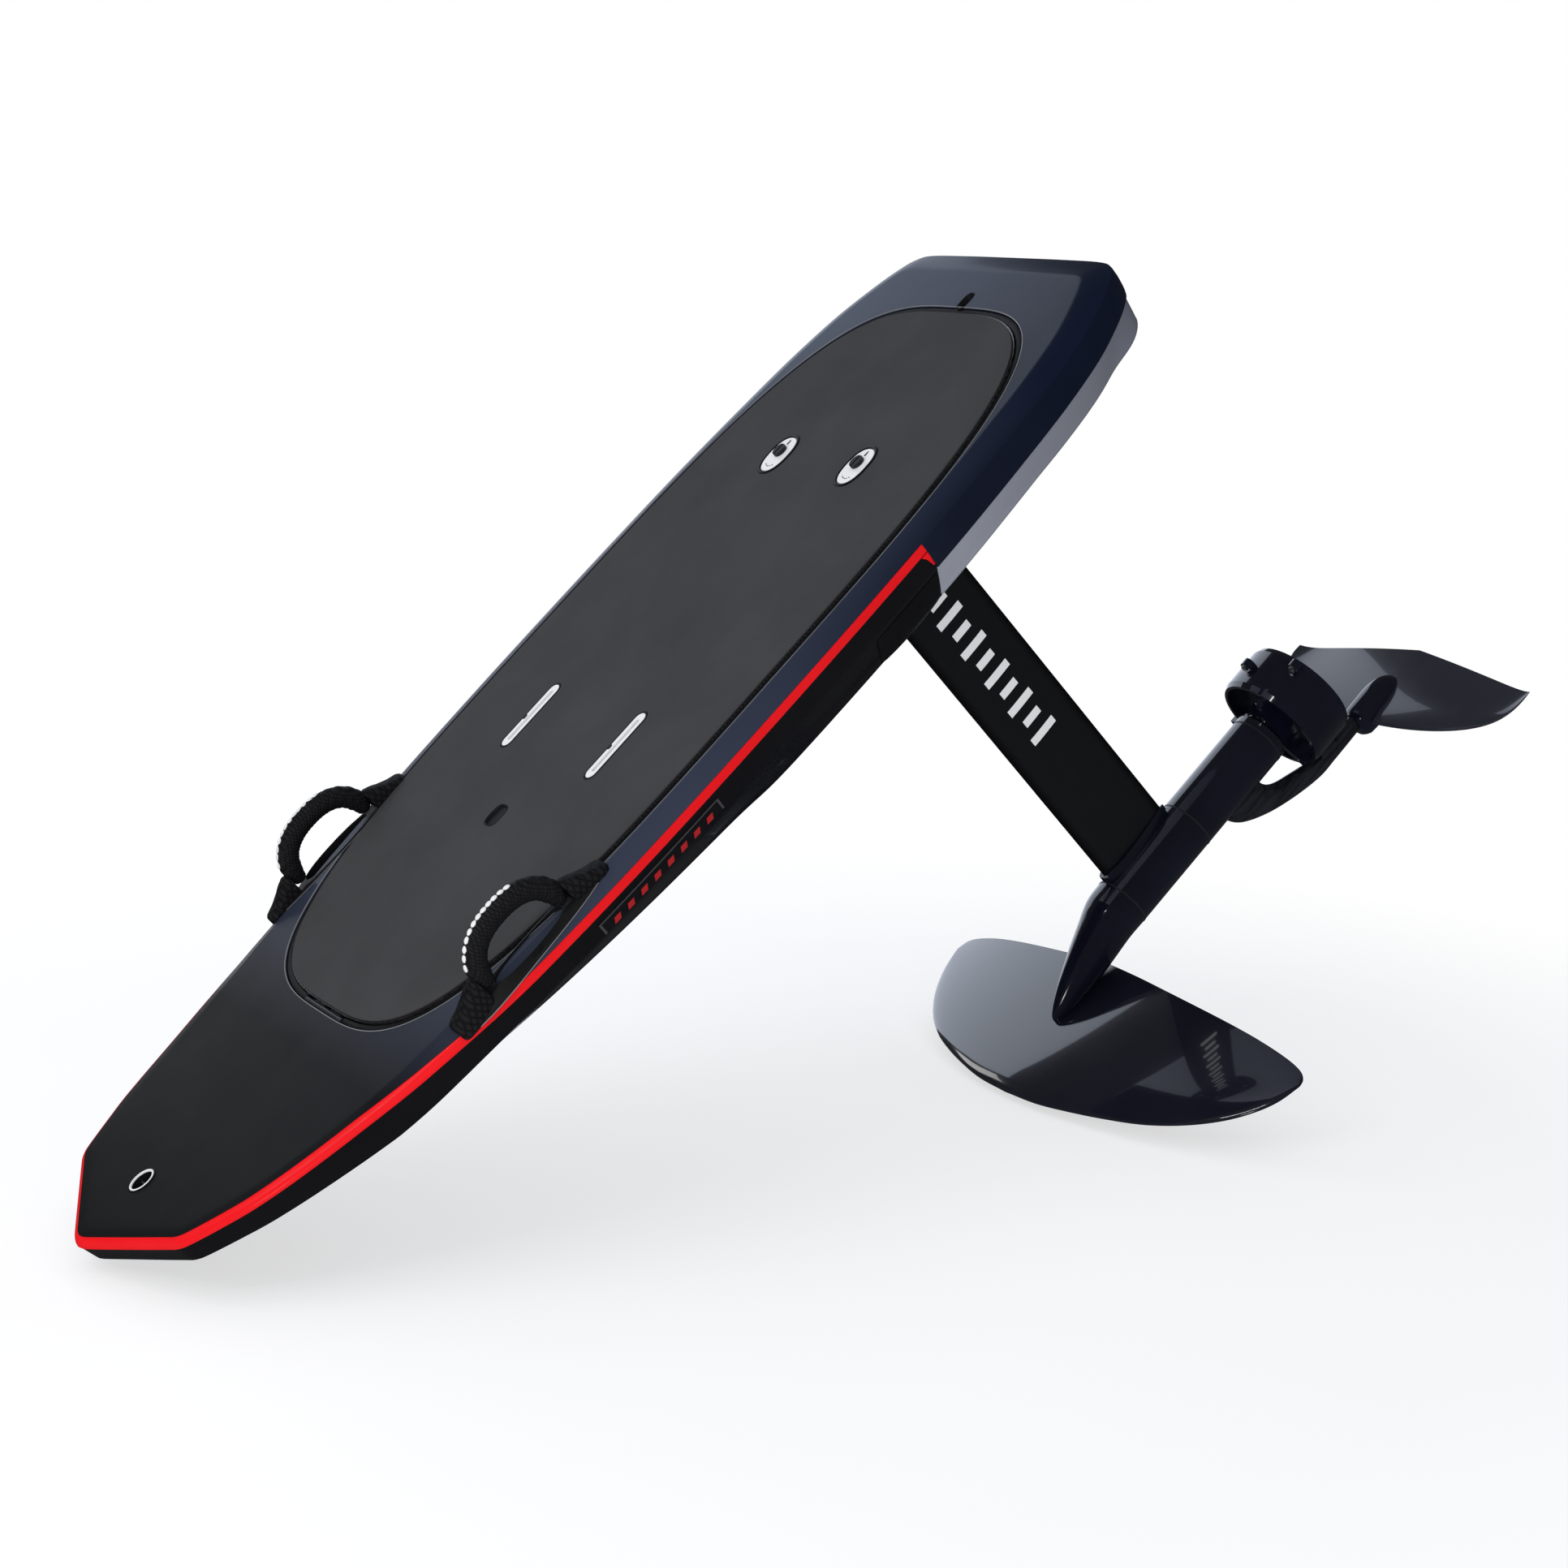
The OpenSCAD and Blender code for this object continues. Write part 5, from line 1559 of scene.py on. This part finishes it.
# --------------------------------------------------------------------------
# The foil
# --------------------------------------------------------------------------


PLAN = (
    (0.0, -0.100, -0.340), (0.17, -0.1035, -0.3375), (0.33, -0.1145, -0.3345), (0.48, -0.1290, -0.3325),
    (0.62, -0.1470, -0.3310),
    (0.75, -0.1730, -0.3290), (0.86, -0.2050, -0.3255), (0.93, -0.2350, -0.3215), (0.975, -0.2640, -0.3160),
    (0.995, -0.2890, -0.3090), (1.0, -0.2980, -0.3040),
)


def foil_height(u: np.ndarray) -> np.ndarray:
    """Half thickness of a symmetrical section with a thickness of one."""
    return 5 * (0.2969 * np.sqrt(u) - 0.126 * u - 0.3516 * u**2 + 0.2843 * u**3 - 0.1036 * u**4)


@dataclass
class Lifting:
    """A wing or stabiliser drawn from span rows."""

    name: str
    replaces: str
    finish: Finish
    slot: str
    span: float
    tail_x: float
    chord: float
    sweep: float
    thick: float
    root_z: float
    drop: float
    fullness: float
    tip: float
    upturn: float = 0.0
    plan: Sequence[tuple[float, float, float]] = ()
    rows: int = 97
    steps: int = 30

    def _row(self, u: float) -> np.ndarray:
        """One chordwise ring at the share u of the half span."""
        size = abs(u)
        tail = self.tail_x + self.sweep * size
        full = self.tail_x + self.chord - tail
        chord = full * (self.tip + (1 - self.tip) * math.sqrt(max(0.0, 1 - size**self.fullness)))
        if self.plan:
            at = math.asin(size)
            rows = smooth_rows([(math.asin(s), lead, back) for s, lead, back in self.plan], 300)
            lead, tail = (float(np.interp(at, rows[:, 0], rows[:, k])) for k in (1, 2))
            chord = lead - tail
        thick = self.thick * (0.14 + 0.86 * max(0.0, 1 - size**2) ** 0.6)
        at = 0.5 - 0.5 * np.cos(np.linspace(0.0, math.pi, self.steps))
        half = foil_height(at) * thick
        z = self.root_z - self.drop * size**2 + self.upturn * size**12
        x = tail + chord - chord * at
        top = np.column_stack([x, np.full(self.steps, u * self.span / 2), z + 1.2 * half + 0.0003 * at])
        low = np.column_stack([x, np.full(self.steps, u * self.span / 2), z - 0.8 * half - 0.0003 * at])
        return np.vstack([top, low[::-1][1:-1]])

    def build(self) -> bpy.types.Object:
        """Builds the piece with rounded tips."""
        shares = np.sin(np.linspace(-math.pi / 2, math.pi / 2, self.rows))
        shares = shares * 0.9995
        return rings_piece(
            [self._row(float(u)) for u in shares],
            Piece(self.name, "board", self.finish, self.slot, (self.replaces,), 55)
        )


@dataclass
class Foil:
    """Everything below the mast that isn't a plain CAD shape."""

    axis: float = -0.814
    pod_front: float = -0.412
    pod_back: float = -0.738

    def build(self) -> None:
        """Builds the wings, nose, boom, mount and trims."""
        Lifting(
            "wing_surface", "front_wing", WING, "foil_carbon", 0.830, -0.345, 0.239, 0.045, 0.021, -0.8695,
            0.058, 2.4, 0.05, 0.0, PLAN
        ).build()
        Lifting(
            "stabiliser_surface", "stabiliser", STAB, "stab_carbon", 0.510, -1.022, 0.145, 0.030, 0.012,
            -0.935, 0.015, 2.4, 0.14, 0.010
        ).build()
        self._nose()
        self._boom()
        self._mount()
        self._bands()

    def _nose(self) -> None:
        """The fuselage's nose, with a soft ridge along its top."""
        rows = smooth_rows(
            [(0.0, 0.0, 41.0, 41.0, 0.0), (0.16, -1.0, 39.5, 40.0, 0.0),
             (0.35, -10.0, 33.0, 36.0, 0.6), (0.55, -20.0, 26.5, 31.0, 1.6),
             (0.75, -29.0, 19.0, 23.0, 2.0), (0.90, -37.0, 11.5, 15.0, 1.5), (0.98, -42.0, 5.5, 9.0, 0.6),
             (1.0, -44.0, 2.0, 5.0, 0.0)],
            48,
        )
        turn = np.linspace(0.0, math.tau, 64, endpoint=False)
        rings = []
        for share, drop, wide, tall, ridge in rows:
            crest = np.exp(-(((turn - math.pi / 2) / 0.30) ** 2)) * ridge
            y = wide * np.cos(turn)
            z = drop + (tall + crest) * np.sin(turn)
            rings.append(
                np.stack([np.full(64, self.pod_front + share * 0.190), y / 1000, self.axis + z / 1000], 1)
            )
        rings_piece(rings, Piece("nose_cone", "board", POD, "foil_carbon", ("fuselage_nose",), 60))

    def _boom(self) -> None:
        """The boom that sweeps from under the pod to the stabiliser."""
        rows = smooth_rows(
            [(-278, -30, -194, -30, 15), (-280, -54, -213, -66, 15), (-294, -70, -252, -92, 14),
             (-323, -82, -300, -111, 13),
             (-371, -98, -353, -124, 13), (-400, -99, -392, -125, 13), (-453, -99, -453, -125, 12)],
            60,
        )
        turn = np.linspace(0.0, math.tau, 36, endpoint=False)
        rings = []
        for up_x, up_z, low_x, low_z, half in rows:
            middle = np.array([(up_x + low_x) / 2, (up_z + low_z) / 2])
            arm = np.array([up_x, up_z]) - middle
            bulge = np.sign(np.sin(turn)) * np.abs(np.sin(turn)) ** 0.85
            x = middle[0] + arm[0] * bulge
            z = middle[1] + arm[1] * bulge
            rings.append(
                np.stack([self.pod_front + x / 1000, half * np.cos(turn) / 1000, self.axis + z / 1000], 1)
            )
        rings_piece(rings, Piece("boom_arm", "board", GLOSS, "foil_carbon", ("tail_boom",), 60))

    def _mount(self) -> None:
        """The bullet that holds the stabiliser."""
        start, height = -0.865, -0.932
        profile = [
            (start + 0.002, 0.012), (start + 0.001, 0.016), (start, 0.0185), (start - 0.004, 0.0220),
            (start - 0.009, 0.0248), (start - 0.020, 0.0258), (start - 0.048, 0.0259)
        ]
        profile += [
            (start - 0.048 - 0.050 * math.sin(a), 0.0259 * math.cos(a)) for a in np.linspace(0.10, 1.545, 16)
        ]
        rings_piece(
            lathe(profile, height, 64),
            Piece("bullet_mount", "board", POD, "foil_carbon", ("stab_mount",), 60)
        )

    def _bands(self) -> None:
        """Thin joint rings round the pod."""
        mesh = bmesh.new()
        for x in (self.pod_front - 0.0015, self.pod_back + 0.012, self.pod_front - 0.150):
            rows = lathe(
                [(x + 0.0016, 0.0405), (x + 0.0013, 0.0415), (x - 0.0013, 0.0415), (x - 0.0016, 0.0405)],
                self.axis, 96
            )
            add_rings(mesh, rows, loop=True)
        publish(mesh, Piece("pod_bands", "board", DARK_ALLOY, "pod_alloy", (), 40))


@dataclass
class Propeller:
    """Hub and swept blades."""

    axis: float = -0.814
    hub_front: float = -0.773
    hub_length: float = 0.046
    hub_radius: float = 0.023
    tip_radius: float = 0.072
    blades: int = 3

    def build(self) -> None:
        """Builds the propeller."""
        mesh = bmesh.new()
        back = self.hub_front - self.hub_length
        profile = [
            (self.hub_front, 0.0051), (self.hub_front, self.hub_radius - 0.002),
            (self.hub_front - 0.002, self.hub_radius), (back, self.hub_radius)
        ]
        profile += [
            (
                back - 0.0205 * math.sin(a), 0.0040 + (self.hub_radius - 0.0040) * math.cos(a)
            ) for a in np.linspace(0.08, math.pi / 2, 12)
        ]
        add_rings(mesh, lathe(profile, self.axis, 64), caps=(True, True))
        rows = smooth_rows(
            [
                (0.0, 15.0, 62.0, 4.6, 0.0), (0.3, 18.5, 50.0, 3.8, -1.5), (0.6, 19.0, 38.0, 2.8, -3.0),
                (0.85, 14.5, 30.0, 2.2, -4.5), (0.97, 8.0, 26.0, 1.6, -5.2), (1.0, 3.0, 25.0, 0.9, -5.4)
            ],
            22
        )
        at = 0.5 - 0.5 * np.cos(np.linspace(0.0, math.pi, 14))
        for k in range(self.blades):
            rings = []
            for share, half, pitch, thick, skew in rows:
                lift = foil_height(at) * thick * 2
                u = np.concatenate([half - 2 * half * at, (half - 2 * half * at)[::-1][1:-1]])
                v = np.concatenate([lift, -lift[::-1][1:-1] * 0.5])
                c, s = math.cos(math.radians(pitch)), math.sin(math.radians(pitch))
                radius = self.hub_radius - 0.0015 + share * (self.tip_radius - self.hub_radius + 0.0015)
                across = u * s + v * c + skew
                points = np.stack([u * c - v * s, across, np.full(len(u), radius * 1000)], 1) / 1000
                points[:, 2] = np.sqrt(np.maximum(radius**2 - points[:, 1] ** 2, 0.0))
                turn = np.array(Matrix.Rotation(math.tau * k / self.blades, 3, "X"))
                rings.append(
                    points @ turn.T + np.array([self.hub_front - self.hub_length / 2, 0.0, self.axis])
                )
            add_rings(mesh, rings, caps=(True, True))
        publish(mesh, Piece("propeller_blades", "rotor", POD, "foil_carbon", ("propeller",), 50))


# --------------------------------------------------------------------------
# CAD nodes that stay, and the studio
# --------------------------------------------------------------------------


@dataclass
class Wardrobe:
    """Which finish each CAD node that stays shown gets."""

    finishes: dict[str, AnyFinish] = field(
        default_factory=lambda: {
            "foam_core": FOAM, "bay_tub": MOULDED, "hinge_base": DARK_ALLOY, "hinge_pin": STEEL,
            "hinge_leaf": DARK_ALLOY,
            "leash_cup": RUBBER, "leash_bar": STEEL, "anchors_port": MOULDED, "anchors_starboard": MOULDED,
            "anchor_screws": DARK_ALLOY, "battery_pack": CASE, "battery_grips": MOULDED,
            "battery_plug": PLUG,
            "controller_box": ALLOY, "cooling_plate": ALLOY, "power_leads": LEAD, "mast_box": ALLOY,
            "mast_collar": MOULDED,
            "mast_top_plate": DARK_ALLOY, "mast_bolts": STEEL, "mast_cable": RUBBER, "mast_saddle": POD,
            "pod_shell": POD,
            "motor_stator": COPPER, "shaft_bearings": STEEL, "shaft_seal": RUBBER, "pod_tail_cap": POD,
            "duct_ring": POD,
            "duct_vanes": POD, "duct_bolts": STEEL, "duct_bracket": GLOSS, "stab_screws": STEEL,
            "wing_screws": STEEL,
            "lid_panel": CARBON, "strap_tracks": WHITE, "latch_port": MOULDED, "latch_starboard": MOULDED,
            "motor_rotor": STEEL, "motor_shaft": STEEL,
        }
    )

    def dress(self, nodes: dict[str, bpy.types.Object]) -> None:
        """Gives every shown CAD node its finish.

        Args:
            nodes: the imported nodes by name.
        """
        low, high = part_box("mast")
        self.finishes["mast"] = MastCoat("mast_coat", (low.x + high.x) / 2, high.z - 0.035, low.z + 0.235)
        for name, finish in self.finishes.items():
            node = nodes[name]
            node.data.materials.clear()
            node.data.materials.append(material_of(finish))
            LOG.info("%s wears %s", name, finish.name)


@dataclass(frozen=True)
class Lamp:
    """One soft rectangular light that looks at the studio's target."""

    name: str
    place: tuple[float, float, float]
    size: tuple[float, float]
    power: float
    mirrored: bool = False
    tint: Colour = (1.0, 1.0, 1.0)


LAMPS = (
    Lamp("panel", (-1.15, -2.80, -0.35), (2.5, 3.8), 27.0, True, (0.78, 0.86, 1.0)),
    Lamp("streak", (0.32, -2.80, 0.35), (0.42, 1.10), 2.2, True),
    Lamp("sliver", (0.9, 1.3, 2.6), (1.2, 0.10), 5.0, True),
    Lamp("spark", (2.2, 2.6, 1.5), (0.45, 0.45), 3.5, True),
    Lamp("above", (0.5, 0.4, 3.0), (2.4, 2.4), 29.0),
    Lamp("front", (1.4, 3.4, 1.2), (2.4, 2.4), 24.0),
)


@dataclass
class Studio:
    """The floor, the lights and the camera."""

    eye: tuple[float, float, float] = (0.7453, 3.4301, 1.59784)
    right: tuple[float, float, float] = (-0.64384, 0.49046, -0.5873)
    up: tuple[float, float, float] = (-0.73137, -0.16886, 0.66075)
    ahead: tuple[float, float, float] = (-0.2249, -0.85495, -0.46743)
    lens: float = 69.875
    target: tuple[float, float, float] = (-0.05, 0.0, -0.35)
    nose_foot: tuple[float, float, float] = (0.875, 0.0, -0.0095)
    wing_foot: tuple[float, float, float] = (-0.100, 0.0, -0.8765)
    floor_gap: float = 0.003
    floor_reach: float = 6.0

    def build(self) -> None:
        """Builds the stage."""
        self._camera()
        self._floor()
        self._world()
        self._lights()

    def _camera(self) -> None:
        """The camera at the fitted viewing angle."""
        data = bpy.data.cameras.new("camera")
        data.lens = self.lens
        data.sensor_width = 36.0
        camera = bpy.data.objects.new("camera", data)
        bpy.context.scene.collection.objects.link(camera)
        axes = Matrix((self.right, self.up, tuple(-v for v in self.ahead))).transposed()
        camera.matrix_world = Matrix.Translation(Vector(self.eye) + Vector(FRAME.shift())) @ axes.to_4x4()
        bpy.context.scene.camera = camera

    def _floor(self) -> None:
        """A pale floor that the nose and the front wing rest on, seen from above only."""
        nose, wing = Vector(self.nose_foot), Vector(self.wing_foot)
        along = (nose - wing).normalized()
        side = Vector((0.0, 1.0, 0.0))
        normal = along.cross(side)
        normal = normal if normal.z > 0 else -normal
        middle = (nose + wing) / 2 - normal * self.floor_gap
        mesh = bmesh.new()
        ways = ((-1, -1), (1, -1), (1, 1), (-1, 1))
        corners = [middle + (along * a + side * b) * self.floor_reach for a, b in ways]
        mesh.faces.new([mesh.verts.new(c) for c in corners])
        bmesh.ops.translate(mesh, verts=mesh.verts, vec=Vector(FRAME.shift()))
        mesh.normal_update()
        for face in mesh.faces:
            if face.normal.dot(normal) < 0:
                face.normal_flip()
        data = bpy.data.meshes.new("floor")
        mesh.to_mesh(data)
        mesh.free()
        floor = bpy.data.objects.new("floor", data)
        bpy.context.scene.collection.objects.link(floor)
        data.materials.append(self._floor_paint())
        floor.visible_glossy = False
        floor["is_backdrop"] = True

    def _floor_paint(self) -> bpy.types.Material:
        """Near-white floor that lets light through from behind."""
        paint = Paint("floor_paint")
        paint.set("Base Color", paint.mix(paint.noise(2.0), (0.43, 0.43, 0.44), (0.45, 0.45, 0.46)))
        paint.set("Roughness", 0.85)
        paint.set("Specular IOR Level", 0.0)
        paint.set("Emission Color", (1.0, 1.0, 1.0))
        paint.set("Emission Strength", 0.60)
        clear = paint.node("ShaderNodeBsdfTransparent")
        faces = paint.node("ShaderNodeNewGeometry")
        x, y, z = paint.axes()
        away = ((x - 0.4) * (x - 0.4) + y * y + (z - 0.45) * (z - 0.45)).ramp(1.4, 3.6)
        hidden = paint.wire(faces, "Backfacing").most(away)
        mix = paint.node(
            "ShaderNodeMixShader", inputs={0: hidden, 1: paint.wire(paint.shader), 2: paint.wire(clear)}
        )
        output = paint.tree.nodes["Material Output"]
        paint.tree.links.new(mix.outputs[0], output.inputs["Surface"])
        return paint.material

    def _world(self) -> None:
        """A white surround, dimmer in reflections."""
        world = bpy.data.worlds.new("surround")
        bpy.context.scene.world = world
        world.use_nodes = True
        world.node_tree.nodes.clear()
        nodes = Nodes(world.node_tree)
        path = nodes.node("ShaderNodeLightPath")
        soft = {"Value": nodes.wire(path, "Is Glossy Ray"), "To Min": 0.62, "To Max": 0.035}
        strength = nodes.wire(nodes.node("ShaderNodeMapRange", inputs=soft))
        dim = nodes.node("ShaderNodeBackground", inputs={0: (0.95, 0.97, 1.0), 1: strength})
        bright = nodes.node("ShaderNodeBackground", inputs={0: (1.0, 1.0, 1.0), 1: 1.0})
        shares = {0: nodes.wire(path, "Is Camera Ray"), 1: nodes.wire(dim), 2: nodes.wire(bright)}
        mix = nodes.node("ShaderNodeMixShader", inputs=shares)
        nodes.node("ShaderNodeOutputWorld", inputs={0: nodes.wire(mix)})
        bpy.context.scene.view_settings.view_transform = "Standard"

    def _lights(self) -> None:
        """A tall panel that the top faces mirror, and soft fills that mirrors don't show."""
        aim = Vector(self.target)
        for lamp in LAMPS:
            spot = Vector(lamp.place)
            data = bpy.data.lights.new(lamp.name, "AREA")
            data.shape = "RECTANGLE"
            data.size, data.size_y = lamp.size
            data.energy = lamp.power
            data.color = lamp.tint
            made = bpy.data.objects.new(lamp.name, data)
            bpy.context.scene.collection.objects.link(made)
            turn = (aim - spot).to_track_quat("-Z", "Y")
            made.matrix_world = Matrix.Translation(spot + Vector(FRAME.shift())) @ turn.to_matrix().to_4x4()
            made.visible_glossy = lamp.mirrored
            LOG.info("%s lamp of %.1f W", lamp.name, lamp.power)


def main(frame: dict, cad_box: tuple[Vector, Vector]) -> None:
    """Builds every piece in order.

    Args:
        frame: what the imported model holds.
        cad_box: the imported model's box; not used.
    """
    logging.basicConfig(level=logging.INFO, format="%(name)s: %(message)s")
    FRAME.read()
    form = BoardForm()
    hatch = Hatch()
    Studio().build()
    Board(form, hatch).build()
    HatchLid(hatch).build()
    LeashPlug().build(form)
    for side in (1.0, -1.0):
        Handle(form, side).build()
    Foil().build()
    Propeller().build()
    Wardrobe().dress(frame["nodes"])


if __name__ == "__main__":
    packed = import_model()
    main(packed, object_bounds())
